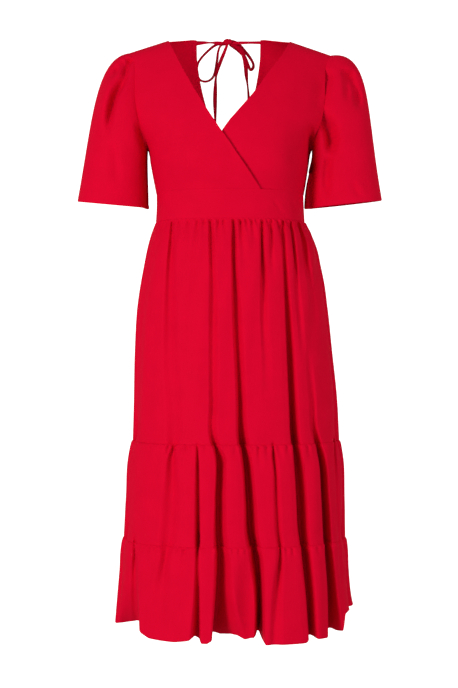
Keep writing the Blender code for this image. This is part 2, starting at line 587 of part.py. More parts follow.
def tier(table, side, folds, shares):
    """The surface of one half of a tier, front or back, from its upper seam to its lower one."""
    low, high = table[0, 0], table[-1, 0]
    hem = low <= Z_HEM
    top = high - SEAM / 2
    bottom = low if hem else low + SEAM / 2
    near = [fold for fold in folds if fold.rows[0][0] > low and fold.rows[-1][0] < high]
    through = [fold for fold in near if fold.rows[0][0] > high - NEAR and fold.rows[-1][0] < low + NEAR]
    columns = tier_columns(table, (top + 2 * bottom) / 3, side, near, through)
    rows = [tier_row(table, top - share * (top - bottom), side, near, through, columns) for share in shares]
    if hem:
        line = FRONT_HEM if side < 0 else BACK_HEM
        lift = np.interp(rows[-1][:, 0], line[:, 0], line[:, 1])
        for row, share in zip(rows, shares):
            row[:, 2] += lift * share**3
    else:
        rows.insert(-1, rows[-1] + (0, 0, SEAM_STAND))
    rows.insert(1, rows[0] - (0, 0, SEAM_STAND))
    return np.array(rows)


# ---------------------------------------------------------------- sleeves
def armhole_point(turn, side):
    """A point of the armhole. turn is 0 at the shoulder and pi at the underarm, by way of the front."""
    fall = UNDERARM * (1 - math.cos(turn)) / 2
    arm = armhole_angle(fall)
    front = -1 if math.sin(turn) >= 0 else 1
    point = torso(fall, [arm if side < 0 else math.pi - arm], front)[0]
    if abs(math.sin(turn)) < 1e-9:
        point[1] = 0
    return point + (side * SEAM, 0, 0)


def sleeve(made):
    """The sleeve's surface: rows from the armhole to the hem, each closed round the arm."""
    middle, half = (made.hem_out + made.hem_in) / 2, (made.hem_out - made.hem_in) / 2
    grid = np.zeros((SLEEVE_ROWS + 1, 2 * ARM_STEPS, 3))
    for j in range(2 * ARM_STEPS):
        turn = math.pi * j / ARM_STEPS
        top = (1 + math.cos(turn)) / 2  # 1 at the shoulder, 0 at the underarm
        start = armhole_point(turn, made.side)
        out, fore = half * math.cos(turn), -SLEEVE_HEM_DEPTH * math.sin(turn)
        c, s = math.cos(made.hem_turn), math.sin(made.hem_turn)
        end = np.array([
            made.side * (middle + out * c + fore * s),
            fore * c - out * s,
            SLEEVE_HEM_Z + SLEEVE_HEM_RISE * math.cos(turn) - SLEEVE_HEM_DIP * math.sin(turn),
        ])
        leave = np.array([
            made.side * (made.puff_out * top + ARM_START),
            -CAP_PUFF * math.sin(turn),
            made.puff_up * top - UNDERARM_DROP * (1 - top),
        ])
        pull = SLEEVE_INNER_PULL * (1 - top) + SLEEVE_OUTER_PULL * top
        arrive = np.array([-made.side * SLEEVE_LEAN * top, 0, pull])
        for i in range(SLEEVE_ROWS + 1):
            w = (i / SLEEVE_ROWS) ** SLEEVE_CROWDING
            grid[i, j] = (
                (1 - w) ** 3 * start
                + 3 * (1 - w) ** 2 * w * (start + leave)
                + 3 * (1 - w) * w * w * (end + arrive)
                + w**3 * end
            )
    return grid


# ---------------------------------------------------------------- making objects
def clear_scene():
    for obj in list(bpy.data.objects):
        bpy.data.objects.remove(obj)


def crepe_material():
    material = bpy.data.materials.new("red_crepe")
    material.use_nodes = True
    shader = material.node_tree.nodes["Principled BSDF"]
    shader.inputs["Base Color"].default_value = CREPE
    shader.inputs["Roughness"].default_value = 0.8
    shader.inputs["Metallic"].default_value = 0.0
    return material


def add_object(name, mesh, collection, material):
    obj = bpy.data.objects.new(name, mesh)
    mesh.materials.append(material)
    collection.objects.link(obj)
    return obj


def cloth(name, grids, collection, material, closed=False, outward=True, offset=-1.0):
    """A cloth piece: lofted grids of points, rows by columns, with a wall on the inner side."""
    mesh = bpy.data.meshes.new(name)
    sheet = bmesh.new()
    for grid in grids:
        points = [[sheet.verts.new(point) for point in row] for row in grid]
        for upper, lower in zip(points, points[1:]):
            for j in range(len(upper) if closed else len(upper) - 1):
                k = (j + 1) % len(upper)
                face = [upper[j], lower[j], lower[k], upper[k]]
                sheet.faces.new(face if outward else face[::-1])
    bmesh.ops.remove_doubles(sheet, verts=sheet.verts, dist=0.00002)
    bmesh.ops.triangulate(sheet, faces=sheet.faces)  # both sides of a wall bend along the same lines
    sheet.to_mesh(mesh)
    sheet.free()
    obj = add_object(name, mesh, collection, material)
    wall = obj.modifiers.new("wall", "SOLIDIFY")
    wall.thickness = WALL
    wall.offset = offset
    return obj


def tie_row(route, at):
    """Position, width and turn of a tie at a share of its route."""
    table = np.column_stack([np.linspace(0, 1, len(route)), np.array(route)])
    return smooth(table, at)


def tie(name, route, collection, material):
    """A flat tie: a strip along its route, twisted as the route says."""
    points = np.array([tie_row(route, at)[:3] for at in np.linspace(0, 1, 200)])
    length = float(np.linalg.norm(np.diff(points, axis=0), axis=1).sum())
    steps = max(4, round(length / TIE_STEP))
    grid = []
    for at in np.linspace(0, 1, steps + 1):
        x, y, z, width, turn = tie_row(route, at)
        ahead = tie_row(route, min(at + TIE_LOOK, 1))[:3] - tie_row(route, max(at - TIE_LOOK, 0))[:3]
        ahead /= np.linalg.norm(ahead)
        across = np.cross(ahead, (0, 1, 0))
        across /= np.linalg.norm(across)
        facing = np.cross(across, ahead)
        turned = across * math.cos(math.radians(turn)) + facing * math.sin(math.radians(turn))
        middle = np.array([x, y, z])
        grid.append([middle - turned * width / 2, middle + turned * width / 2])
    return cloth(name, [np.array(grid)], collection, material, offset=0.0)


def knot(collection, material):
    bpy.ops.mesh.primitive_uv_sphere_add(segments=10, ring_count=7, radius=1, location=KNOT_AT)
    obj = bpy.context.object
    obj.name = obj.data.name = "tie_knot"
    obj.data.transform(obj.matrix_world.to_3x3().to_4x4())
    for vertex in obj.data.vertices:
        vertex.co = [c * r for c, r in zip(vertex.co, KNOT_RADII)]
    obj.data.materials.append(material)
    obj.data.shade_smooth()
    for holder in list(obj.users_collection):
        holder.objects.unlink(obj)
    collection.objects.link(obj)


def main():
    clear_scene()
    dress = bpy.data.collections.new("midi_dress")
    bpy.context.scene.collection.children.link(dress)
    crepe = crepe_material()

    cloth("bodice_front_right", [wrap_front(-1, 10)], dress, crepe)
    cloth("bodice_front_left", [wrap_front(1, 10)], dress, crepe)
    cloth("bodice_back", back_halves(6), dress, crepe, outward=False)
    for half, side in (("front", -1), ("back", 1)):
        outward = side < 0
        folds = FRONT_FOLDS if side < 0 else BACK_FOLDS
        cloth("waistband_" + half, [waistband(side, 14, 2)], dress, crepe, outward=outward)
        for name, table, shares in (
            ("skirt_upper_", UPPER_TIER, UPPER_ROWS),
            ("skirt_middle_", MIDDLE_TIER, MIDDLE_ROWS),
            ("skirt_lower_", LOWER_TIER, LOWER_ROWS),
        ):
            cloth(name + half, [tier(table, side, folds, shares)], dress, crepe, outward=outward)
    for name, made in SLEEVES.items():
        cloth(name, [sleeve(made)], dress, crepe, closed=True, outward=made.side < 0)
    for name, route in TIES.items():
        tie(name, route, dress, crepe)
    knot(dress, crepe)


main()
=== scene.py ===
"""The looks of a red tiered midi dress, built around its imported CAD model.

Metres, +Z up, the front faces -Y and +X is the wearer's left. Every cloth piece is a closed shell: a grid
of points on the dress's outer side, worked out from the same sections and folds as its CAD solid, with
gathers, creases and seams pressed into it, and an inner side one wall further in.
"""

import math
from typing import NamedTuple

import bpy
import numpy as np
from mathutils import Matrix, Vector


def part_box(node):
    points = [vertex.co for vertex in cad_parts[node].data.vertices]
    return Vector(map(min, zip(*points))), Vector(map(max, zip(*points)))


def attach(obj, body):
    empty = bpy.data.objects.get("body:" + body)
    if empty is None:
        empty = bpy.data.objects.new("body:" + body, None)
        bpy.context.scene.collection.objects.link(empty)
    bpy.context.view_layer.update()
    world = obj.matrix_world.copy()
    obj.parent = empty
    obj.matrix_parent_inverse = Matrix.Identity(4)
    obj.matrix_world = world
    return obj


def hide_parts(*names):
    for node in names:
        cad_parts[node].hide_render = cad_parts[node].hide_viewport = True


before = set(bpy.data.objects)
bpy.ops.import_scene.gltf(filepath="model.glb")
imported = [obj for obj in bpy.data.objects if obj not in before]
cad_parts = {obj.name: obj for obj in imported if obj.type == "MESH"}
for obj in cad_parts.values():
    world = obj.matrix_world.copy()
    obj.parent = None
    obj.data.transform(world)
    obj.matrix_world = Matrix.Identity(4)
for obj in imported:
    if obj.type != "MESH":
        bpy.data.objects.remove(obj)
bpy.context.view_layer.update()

# ---- sizes of the CAD model
LAYER = 0.0034  # how far the under wrap front lies inside the upper one
SQUARE = 2.3  # exponent of the half rings: 2 is an ellipse

GAP = 0.00015  # the CAD pieces stay this far from their seams
Z_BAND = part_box("waistband_front")[1].z + GAP
Z_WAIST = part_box("waistband_front")[0].z - GAP
Z_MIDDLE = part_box("skirt_upper_front")[0].z - GAP
Z_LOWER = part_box("skirt_middle_front")[0].z - GAP
Z_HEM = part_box("skirt_lower_front")[0].z

NECK_X = 0.123  # half distance between the shoulder seams' neck ends
NECK_Z = 0.0142
SHOULDER_SLOPE = 0.325
SHOULDER_TILT = 0.012  # the right shoulder stands a little higher
ARM_TURN = math.radians(32)  # where the armhole's upper part lies on the torso ring
UNDERARM = 0.69  # fall of the underarm point

# the fullness at the bust: its middle, how far it stands out, how wide and, in falls, how tall it is
BUST_X = 0.088
BUST_FALL = 0.78
BUST_OUT = 0.008
BUST_SPREAD = 0.05
BUST_TALL = 0.17
BUST_CLEAR = 0.12  # it fades out over this share of the fall above the waistband

KEYHOLE_X = 0.065  # half width of the opening at the back of the neck
KEYHOLE_MIDDLE = -0.003
KEYHOLE_CORNER = 0.0169  # fall of its upper corners
NECK_SHAPE = 0.7  # 1 would be a straight edge from the shoulder seam to them
KEYHOLE_TOP = 0.10  # fall at which the opening starts to narrow
KEYHOLE_BOTTOM = 0.6241
KEYHOLE_SHAPE = 1.35

# fall is the share of the way from the shoulder seam down to the waistband.
TORSO = np.array([
    # fall, half width, front depth, back depth
    (0, 0.2331, 0, 0),
    (0.01, 0.23, 0.018, 0.033),
    (0.05, 0.224, 0.04, 0.06),
    (0.12, 0.218, 0.058, 0.081),
    (0.25, 0.215, 0.082, 0.102),
    (0.4, 0.208, 0.104, 0.114),
    (0.55, 0.189, 0.124, 0.117),
    (0.69, 0.164, 0.136, 0.113),
    (0.8, 0.158, 0.139, 0.106),
    (0.9, 0.1525, 0.132, 0.101),
    (1, 0.1465, 0.122, 0.097),
])
WRAP_EDGES = np.array([
    # fall, x of the upper (right) front's edge, x of the under (left) front's edge
    (0, -0.1232, 0.1204),
    (0.15, -0.1055, 0.0998),
    (0.27, -0.089, 0.0774),
    (0.44, -0.0622, 0.0438),
    (0.57, -0.0385, 0.0123),
    (0.67, -0.0183, -0.014),
    (0.79, 0.0089, -0.043),
    (0.87, 0.0289, -0.063),
    (1, 0.059, -0.095),
])

WAISTBAND = np.array([
    # z, right half width, left half width, front depth, back depth
    (Z_WAIST, 0.148, 0.149, 0.113, 0.096),
    (-0.32, 0.1465, 0.1475, 0.116, 0.096),
    (Z_BAND, 0.1465, 0.1465, 0.122, 0.097),
])
SKIRT = np.array([
    # z, right half width, left half width, front depth, back depth
    (Z_HEM, 0.229, 0.2455, 0.184, 0.184),
    (-1.086, 0.224, 0.24, 0.178, 0.179),
    (-1.038, 0.22, 0.237, 0.175, 0.177),
    (-0.994, 0.217, 0.2345, 0.171, 0.174),
    (Z_LOWER, 0.212, 0.23, 0.166, 0.168),
    (-0.894, 0.208, 0.229, 0.163, 0.165),
    (-0.8, 0.2, 0.223, 0.157, 0.159),
    (Z_MIDDLE, 0.194, 0.218, 0.151, 0.153),
    (-0.702, 0.192, 0.214, 0.148, 0.15),
    (-0.606, 0.19, 0.204, 0.144, 0.146),
    (-0.51, 0.184, 0.194, 0.139, 0.14),
    (-0.438, 0.172, 0.182, 0.131, 0.127),
    (-0.39, 0.162, 0.17, 0.124, 0.114),
    (-0.366, 0.155, 0.16, 0.118, 0.104),
    (Z_WAIST, 0.148, 0.149, 0.113, 0.096),
])
# two tiers share the row at their seam
LOWER_TIER, MIDDLE_TIER, UPPER_TIER = SKIRT[:5], SKIRT[4:8], SKIRT[7:]
HALF_WIDTHS = SKIRT[:, :3]
WAIST_EASE = 0.007  # the folds open out over this much below the waistband
# x, and how much higher than level the hem hangs there
FRONT_HEM = np.array([
    (-0.235, 0.007), (-0.225, 0.008), (-0.188, 0.013), (-0.181, 0.015), (-0.17, 0.009), (-0.156, 0.002),
    (-0.134, 0), (-0.105, 0), (-0.078, 0.004), (-0.066, 0.009), (-0.0615, 0.004), (-0.056, -0.001),
    (-0.043, -0.001), (-0.037, 0.003), (-0.02, 0.001), (0, 0.008), (0.012, 0.008), (0.027, 0.002),
    (0.042, 0.006), (0.052, 0.008), (0.057, 0.003), (0.06, -0.002), (0.066, -0.004), (0.145, -0.004),
    (0.152, 0), (0.158, 0.001), (0.188, 0), (0.195, 0.004), (0.205, 0.003), (0.215, 0.006), (0.221, 0.008),
    (0.223, 0.038), (0.233, 0.042), (0.246, 0.044),
])
BACK_HEM = np.array([
    (-0.235, 0.007), (-0.18, 0.002), (-0.12, -0.002), (-0.03, 0.001), (0.08, -0.002), (0.13, 0),
    (0.165, 0.011), (0.19, 0.023), (0.21, 0.032), (0.23, 0.039), (0.246, 0.044),
])
HEM_EASE = 0.0015  # the hem line is rounded over this much to either side
HEM_LIFT_SHAPE = 3  # 1 would spread the lift evenly over the tier's height

SHOULDER = 0.075  # each trough lies in a wide shallow one, as a share of its depth
SHOULDER_WIDTH = 1.0  # and of both its widths
SHOULDER_MOST = 0.05  # no trough counts as deeper than this
FOLD_CLEAR = 0.014  # the folds end over this much towards a side seam


class Fold(NamedTuple):
    """A trough in the skirt. Beyond its rows it keeps the shape of the last one."""

    heading: float  # degrees its bottom turns from the front or back plane's normal to +X
    rows: tuple  # z, x, depth, and its widths from its bottom to its edge at -X and at +X
    beside: bool = False  # its x are shares of the half width at their height


FRONT_FOLDS = (
    Fold(75, (
        (Z_WAIST, -0.98, 0.002, 0.006, 0.006), (-0.51, -0.98, 0.01, 0.012, 0.014),
        (Z_MIDDLE, -0.98, 0.013, 0.014, 0.016), (Z_LOWER, -0.98, 0.014, 0.016, 0.018),
        (Z_HEM, -0.98, 0.003, 0.02, 0.022),
    ), True),
    Fold(0, (
        (-0.99, -0.182, 0, 0.03, 0.012), (-1.06, -0.182, 0.01, 0.06, 0.012),
        (-1.105, -0.181, 0.036, 0.1, 0.011), (Z_HEM, -0.18, 0.078, 0.13, 0.01),
    )),
    Fold(0, (
        (-0.955, -0.184, 0, 0.006, 0.006), (-0.985, -0.184, 0.011, 0.007, 0.007),
        (-1.04, -0.184, 0.009, 0.012, 0.012), (-1.12, -0.184, 0.005, 0.015, 0.015),
    )),
    Fold(0, (
        (Z_WAIST, -0.112, 0.006, 0.005, 0.007), (-0.39, -0.1135, 0.01, 0.008, 0.011),
        (-0.467, -0.1155, 0.01, 0.014, 0.018), (-0.544, -0.115, 0.009, 0.018, 0.023),
        (-0.62, -0.113, 0.008, 0.022, 0.025), (-0.697, -0.1075, 0.008, 0.023, 0.024),
        (-0.775, -0.1075, 0.009, 0.019, 0.018), (-0.797, -0.1085, 0.012, 0.015, 0.014),
        (-0.887, -0.1115, 0.013, 0.024, 0.022), (-0.96, -0.117, 0.011, 0.023, 0.02),
        (-0.992, -0.1215, 0.012, 0.016, 0.015), (-1.06, -0.129, 0.008, 0.026, 0.024),
        (Z_HEM, -0.133, 0.004, 0.032, 0.028),
    )),
    Fold(5, (
        (-0.775, -0.062, 0, 0.004, 0.004), (-0.79, -0.062, 0.006, 0.004, 0.004),
        (-0.887, -0.0615, 0.015, 0.006, 0.006), (-0.94, -0.0615, 0.022, 0.006, 0.006),
        (-0.964, -0.0615, 0.028, 0.006, 0.006), (-0.985, -0.062, 0.014, 0.005, 0.005),
        (-1.06, -0.0615, 0.018, 0.008, 0.006), (Z_HEM, -0.0635, 0.034, 0.013, 0.01),
    )),
    Fold(-6, (
        (Z_WAIST, -0.0375, 0.008, 0.006, 0.006), (-0.39, -0.035, 0.01, 0.007, 0.008),
        (-0.467, -0.033, 0.009, 0.009, 0.01), (-0.697, -0.0315, 0.01, 0.01, 0.012),
        (-0.772, -0.031, 0.015, 0.009, 0.011), (-0.797, -0.0225, 0.028, 0.009, 0.012),
        (-0.887, -0.0195, 0.034, 0.01, 0.014), (-0.966, -0.018, 0.039, 0.013, 0.017),
        (-0.992, -0.016, 0.042, 0.014, 0.019), (-1.06, -0.0175, 0.05, 0.014, 0.026),
        (Z_HEM, -0.0225, 0.095, 0.013, 0.056),
    )),
    Fold(0, (
        (-0.96, 0.036, 0, 0.03, 0.01), (-1.04, 0.038, 0.012, 0.035, 0.016),
        (Z_HEM, 0.038, 0.025, 0.04, 0.02),
    )),
    Fold(-3, (
        (Z_WAIST, 0.0065, 0.009, 0.005, 0.006), (-0.39, 0.0075, 0.014, 0.006, 0.007),
        (-0.467, 0.009, 0.016, 0.007, 0.009), (-0.544, 0.013, 0.016, 0.009, 0.013),
        (-0.697, 0.019, 0.023, 0.009, 0.014), (-0.755, 0.021, 0.03, 0.01, 0.014),
        (-0.776, 0.0235, 0.037, 0.011, 0.015), (-0.8, 0.029, 0.04, 0.011, 0.013),
        (-0.887, 0.037, 0.044, 0.011, 0.014), (-0.955, 0.042, 0.049, 0.014, 0.014),
        (-0.992, 0.051, 0.052, 0.016, 0.013), (-1.04, 0.0575, 0.056, 0.016, 0.01),
        (-1.076, 0.059, 0.06, 0.015, 0.009), (Z_HEM, 0.0605, 0.092, 0.017, 0.007),
    )),
    Fold(-5, (
        (Z_WAIST, 0.0615, 0.008, 0.005, 0.006), (-0.39, 0.062, 0.014, 0.006, 0.007),
        (-0.43, 0.0622, 0.016, 0.006, 0.008), (-0.467, 0.064, 0.011, 0.007, 0.009),
        (-0.544, 0.0645, 0.006, 0.008, 0.011), (-0.62, 0.0685, 0.003, 0.01, 0.013),
        (-0.697, 0.07, 0, 0.012, 0.014),
    )),
    Fold(0, (
        (Z_WAIST, 0.079, 0.007, 0.004, 0.005), (-0.39, 0.0795, 0.006, 0.005, 0.006),
        (-0.43, 0.081, 0.002, 0.006, 0.007), (-0.467, 0.082, 0, 0.007, 0.008),
    )),
    Fold(-4, (
        (-0.774, 0.0815, 0, 0.004, 0.004), (-0.792, 0.082, 0.012, 0.005, 0.006),
        (-0.83, 0.0853, 0.012, 0.005, 0.008), (-0.887, 0.0872, 0.01, 0.006, 0.01),
        (-0.944, 0.09, 0.01, 0.006, 0.01), (-0.985, 0.095, 0.013, 0.005, 0.007),
        (-1, 0.094, 0.015, 0.005, 0.008), (-1.04, 0.089, 0.012, 0.008, 0.012),
        (-1.076, 0.0865, 0.009, 0.01, 0.014), (Z_HEM, 0.083, 0.006, 0.012, 0.02),
    )),
    Fold(-5, (
        (Z_WAIST, 0.102, 0.009, 0.005, 0.006), (-0.39, 0.103, 0.01, 0.006, 0.007),
        (-0.467, 0.1066, 0.014, 0.006, 0.009), (-0.544, 0.1105, 0.02, 0.007, 0.011),
        (-0.62, 0.115, 0.026, 0.008, 0.012), (-0.697, 0.1189, 0.032, 0.009, 0.013),
        (-0.772, 0.1235, 0.042, 0.01, 0.013), (-0.8, 0.128, 0.042, 0.011, 0.012),
        (-0.887, 0.1355, 0.043, 0.011, 0.014), (-0.96, 0.14, 0.044, 0.012, 0.015),
        (-0.992, 0.1445, 0.044, 0.013, 0.014), (-1.06, 0.1515, 0.042, 0.012, 0.014),
        (Z_HEM, 0.1565, 0.05, 0.009, 0.014),
    )),
    Fold(-5, (
        (Z_WAIST, 0.1175, 0.009, 0.004, 0.005), (-0.39, 0.1222, 0.012, 0.005, 0.006),
        (-0.43, 0.126, 0.012, 0.006, 0.007), (-0.467, 0.128, 0.006, 0.007, 0.008),
        (-0.544, 0.1345, 0.004, 0.008, 0.01), (-0.62, 0.14, 0, 0.01, 0.012),
    )),
    Fold(-8, (
        (Z_WAIST, 0.1325, 0.009, 0.004, 0.006), (-0.39, 0.1425, 0.017, 0.006, 0.014),
        (-0.43, 0.1475, 0.012, 0.007, 0.014), (-0.467, 0.154, 0.007, 0.01, 0.016),
        (-0.56, 0.165, 0, 0.016, 0.02),
    )),
    Fold(-5, (
        (-0.6, 0.15, 0, 0.01, 0.012), (-0.697, 0.158, 0.007, 0.009, 0.011),
        (-0.755, 0.161, 0.013, 0.009, 0.012), (-0.778, 0.167, 0.022, 0.009, 0.013),
        (-0.8, 0.1725, 0.034, 0.009, 0.015), (-0.887, 0.181, 0.042, 0.01, 0.016),
        (-0.974, 0.1865, 0.046, 0.01, 0.018), (-1.06, 0.1935, 0.05, 0.01, 0.02),
        (Z_HEM, 0.195, 0.07, 0.009, 0.04),
    )),
    Fold(-8, (
        (-0.765, 0.203, 0, 0.003, 0.004), (-0.785, 0.2035, 0.009, 0.004, 0.006),
        (-0.83, 0.206, 0.006, 0.004, 0.006), (-0.92, 0.2095, 0.003, 0.005, 0.008),
        (-1, 0.213, 0.003, 0.006, 0.01), (-1.08, 0.217, 0, 0.008, 0.01),
    )),
    Fold(-75, (
        (Z_WAIST, 0.98, 0.002, 0.006, 0.006), (-0.51, 0.98, 0.01, 0.014, 0.012),
        (Z_MIDDLE, 0.98, 0.014, 0.016, 0.014), (Z_LOWER, 0.98, 0.018, 0.018, 0.016),
        (Z_HEM, 0.98, 0.022, 0.022, 0.02),
    ), True),
)
BACK_LEVELS = (Z_WAIST, -0.56, Z_MIDDLE, Z_LOWER, Z_HEM)
BACK_FOLDS = tuple(
    Fold(heading, tuple((z, *row) for z, row in zip(BACK_LEVELS, rows)), beside)
    # heading, beside, and for each level x, depth and the two widths
    for heading, beside, *rows in (
        (40, True, (-0.912, 0.004, 0.006, 0.007), (-0.92, 0.01, 0.011, 0.013),
         (-0.93, 0.017, 0.013, 0.016), (-0.94, 0.026, 0.019, 0.023), (-0.935, 0.042, 0.028, 0.032)),
        (8, False, (-0.112, 0.005, 0.006, 0.007), (-0.138, 0.01, 0.008, 0.011),
         (-0.146, 0.022, 0.01, 0.014), (-0.156, 0.046, 0.012, 0.024), (-0.162, 0.078, 0.014, 0.034)),
        (-5, False, (-0.08, 0.006, 0.007, 0.006), (-0.094, 0.013, 0.01, 0.008),
         (-0.098, 0.026, 0.013, 0.009), (-0.104, 0.05, 0.02, 0.01), (-0.11, 0.088, 0.03, 0.01)),
        (0, False, (-0.046, 0.005, 0.005, 0.006), (-0.05, 0.005, 0.007, 0.008),
         (-0.046, 0.009, 0.009, 0.01), (-0.052, 0.024, 0.012, 0.014), (-0.05, 0.034, 0.016, 0.018)),
        (-5, False, (-0.008, 0.008, 0.006, 0.007), (0, 0.017, 0.008, 0.01), (0.006, 0.034, 0.009, 0.013),
         (0.004, 0.064, 0.009, 0.022), (0.012, 0.112, 0.01, 0.032)),
        (0, False, (0.034, 0.005, 0.006, 0.006), (0.044, 0.005, 0.008, 0.008), (0.056, 0.01, 0.01, 0.009),
         (0.066, 0.02, 0.013, 0.013), (0.062, 0.026, 0.016, 0.018)),
        (6, False, (0.068, 0.006, 0.007, 0.006), (0.084, 0.014, 0.01, 0.008), (0.1, 0.03, 0.013, 0.009),
         (0.112, 0.061, 0.021, 0.01), (0.122, 0.096, 0.03, 0.011)),
        (-8, False, (0.106, 0.005, 0.006, 0.007), (0.132, 0.007, 0.008, 0.009),
         (0.15, 0.013, 0.009, 0.011), (0.166, 0.038, 0.011, 0.017), (0.178, 0.06, 0.014, 0.024)),
        (-45, True, (0.89, 0.004, 0.007, 0.006), (0.9, 0.011, 0.013, 0.01), (0.915, 0.018, 0.016, 0.012),
         (0.93, 0.027, 0.022, 0.019), (0.93, 0.04, 0.032, 0.028)),
    )
)


class Sleeve(NamedTuple):
    """side is -1 for the wearer's right. The hem is an oval, and out and in are its furthest x."""

    side: int
    hem_out: float
    hem_in: float
    hem_turn: float
    puff_out: float
    puff_up: float


SLEEVES = {
    "sleeve_right": Sleeve(-1, 0.305, 0.164, math.radians(4), 0.066, -0.008),
    "sleeve_left": Sleeve(1, 0.305, 0.147, math.radians(21), 0.084, 0.014),
}
SLEEVE_HEM_Z = -0.312
SLEEVE_HEM_RISE = 0.006  # the hem's outer point is this much higher
SLEEVE_HEM_DIP = 0.006  # and its front is this much lower
SLEEVE_HEM_DEPTH = 0.062
CAP_PUFF = 0.020  # fullness of the cap to front and back
ARM_START = 0.003  # how far outward the sleeve leaves the underarm
UNDERARM_DROP = 0.034
SLEEVE_LEAN = 0.030  # how much the outer side leans outward as it reaches the hem
SLEEVE_INNER_PULL = 0.060  # how straight the inner side reaches the hem
SLEEVE_OUTER_PULL = 0.160


# x, y, z, width, and its turn in degrees, which is 0 where the flat side faces front
TIES = {
    "tie_strap_right": (
        (-0.0655, 0.052, 0.0228, 0.01, 0), (-0.053, 0.058, 0.025, 0.007, 10),
        (-0.04, 0.0635, 0.0262, 0.005, 36), (-0.027, 0.069, 0.027, 0.007, 10),
        (-0.0158, 0.0722, 0.0276, 0.005, 0),
    ),
    "tie_strap_left": (
        (0.0068, 0.0722, 0.0276, 0.005, 0), (0.022, 0.069, 0.027, 0.007, 12),
        (0.042, 0.062, 0.026, 0.007, 30), (0.063, 0.053, 0.024, 0.008, 20),
    ),
    "tie_loop_right": (
        (-0.0135, 0.079, 0.028, 0.006, 30), (-0.03, 0.0855, 0.0257, 0.007, 50),
        (-0.0506, 0.093, 0.0104, 0.009, 66), (-0.065, 0.101, -0.006, 0.009, 66),
        (-0.0682, 0.107, -0.022, 0.009, 60), (-0.064, 0.111, -0.039, 0.009, 54),
        (-0.0511, 0.1125, -0.0442, 0.009, 50), (-0.0382, 0.112, -0.0385, 0.009, 50),
        (-0.0312, 0.108, -0.026, 0.009, 50), (-0.0268, 0.101, -0.003, 0.009, 50),
        (-0.0242, 0.093, 0.0145, 0.007, 46), (-0.018, 0.085, 0.0255, 0.006, 30),
        (-0.008, 0.0795, 0.0258, 0.005, 10),
    ),
    "tie_loop_left": (
        (0.0022, 0.079, 0.0312, 0.009, 0), (0.0143, 0.0835, 0.0284, 0.009, 5),
        (0.0281, 0.09, 0.0169, 0.009, 28), (0.04, 0.096, 0.004, 0.009, 38),
        (0.0476, 0.101, -0.008, 0.009, 48), (0.048, 0.108, -0.0155, 0.009, 50),
        (0.043, 0.116, -0.018, 0.009, 50), (0.0385, 0.12, -0.01, 0.009, 50),
        (0.031, 0.116, 0.007, 0.008, 40), (0.017, 0.104, 0.019, 0.007, 20),
        (0.002, 0.088, 0.0255, 0.005, 10),
    ),
    "tie_tail_right": (
        (-0.006, 0.0716, 0.023, 0.005, 0), (-0.0122, 0.077, 0.008, 0.007, 10),
        (-0.0204, 0.084, -0.011, 0.008, 25), (-0.0286, 0.094, -0.037, 0.007, 52),
        (-0.0302, 0.101, -0.058, 0.009, 32), (-0.031, 0.109, -0.083, 0.009, 12),
        (-0.0308, 0.117, -0.106, 0.009, 40), (-0.0306, 0.1212, -0.128, 0.009, 58),
        (-0.0312, 0.1202, -0.164, 0.009, 20), (-0.0325, 0.118, -0.208, 0.009, 0),
    ),
    "tie_tail_left": (
        (0.0056, 0.0745, 0.024, 0.005, 0), (0.015, 0.078, 0.0202, 0.007, 5),
        (0.024, 0.081, 0.0125, 0.009, 10), (0.0298, 0.084, -0.002, 0.009, 12),
        (0.0324, 0.0875, -0.018, 0.009, 14), (0.034, 0.094, -0.035, 0.009, 28),
        (0.0364, 0.102, -0.053, 0.007, 54), (0.0386, 0.1115, -0.075, 0.008, 50),
        (0.0386, 0.1205, -0.105, 0.009, 46), (0.037, 0.1215, -0.15, 0.009, 10),
        (0.0372, 0.119, -0.195, 0.009, 0),
    ),
}
TIE_THICK = 0.0013  # a folded and stitched tape
TIE_STEP = 0.0016
TIE_LEADS = {"strap": (0.005, 0.005), "loop": (0.006, 0.006), "tail": (0.004, 0.0)}  # hidden at both ends
TIE_CORNERS = 14  # round its section
TIE_EDGE_SHAPE = 0.6  # with 1 for this and the next the section would be an ellipse
TIE_CROWN_SHAPE = 0.75
TIE_TAPER = 0.0008  # over this much its ends are rounded
TIE_TIP = 0.04  # square of their width, as a share of the whole
TIE_PATH_POINTS = 30
KNOT_SHAPE = 0.55  # 1 would make it a ball
KNOT_LUMPS = 0.07
KNOT_FLARE = 0.08
KNOT_SLANT = 0.25  # of the groove
KNOT_GROOVE = 0.16  # the groove between its two strands, as a share of its radius
KNOT_GROOVE_WIDTH = 0.16

# ---- sizes of the fine cloth
WALL = 0.0008
HEM_WALL = 0.0020  # where the hem is turned up twice
HEM_HEIGHT = 0.007
EDGE_WALL = 0.0014  # where an edge is turned in
EDGE_WIDTH = 0.007
ROW_STEP = 0.0090
SKIRT_COLUMNS = {-1: 480, 1: 400}  # front and back
BODICE_COLUMNS = 84
ARM_ROWS = 56  # rows from shoulder point to underarm
SIDE_ROWS = 26  # rows from underarm to waistband
SHOULDER_TURNS = (0, 0.011, 0.022, 0.036)  # more rows close to the shoulder point
ROW_CLEAR = 0.004  # no row is closer than this to those at the waistband, as a share of the fall
BACK_COLUMNS = 50  # in each half
BAND_COLUMNS = 150
BAND_STEP = 0.003
BAND_LENGTH = 0.42  # about the length of half the waistband
SLEEVE_LENGTH = 0.31  # about
SLEEVE_SPACING = 1.15  # 1 would space the rows evenly along the curves' parameter
SLEEVE_STEP = 0.0042
SPACING_ROW = 0.75  # a tier's columns are evenly spaced this far down
SPACING_STEPS = 4001
MEASURE_STEPS = 400  # for the length of a curve
THROUGH = 0.01  # a fold runs the whole height of a tier if it gets this close to both seams
SAME_PLACE = 1e-5  # points that are this close are one
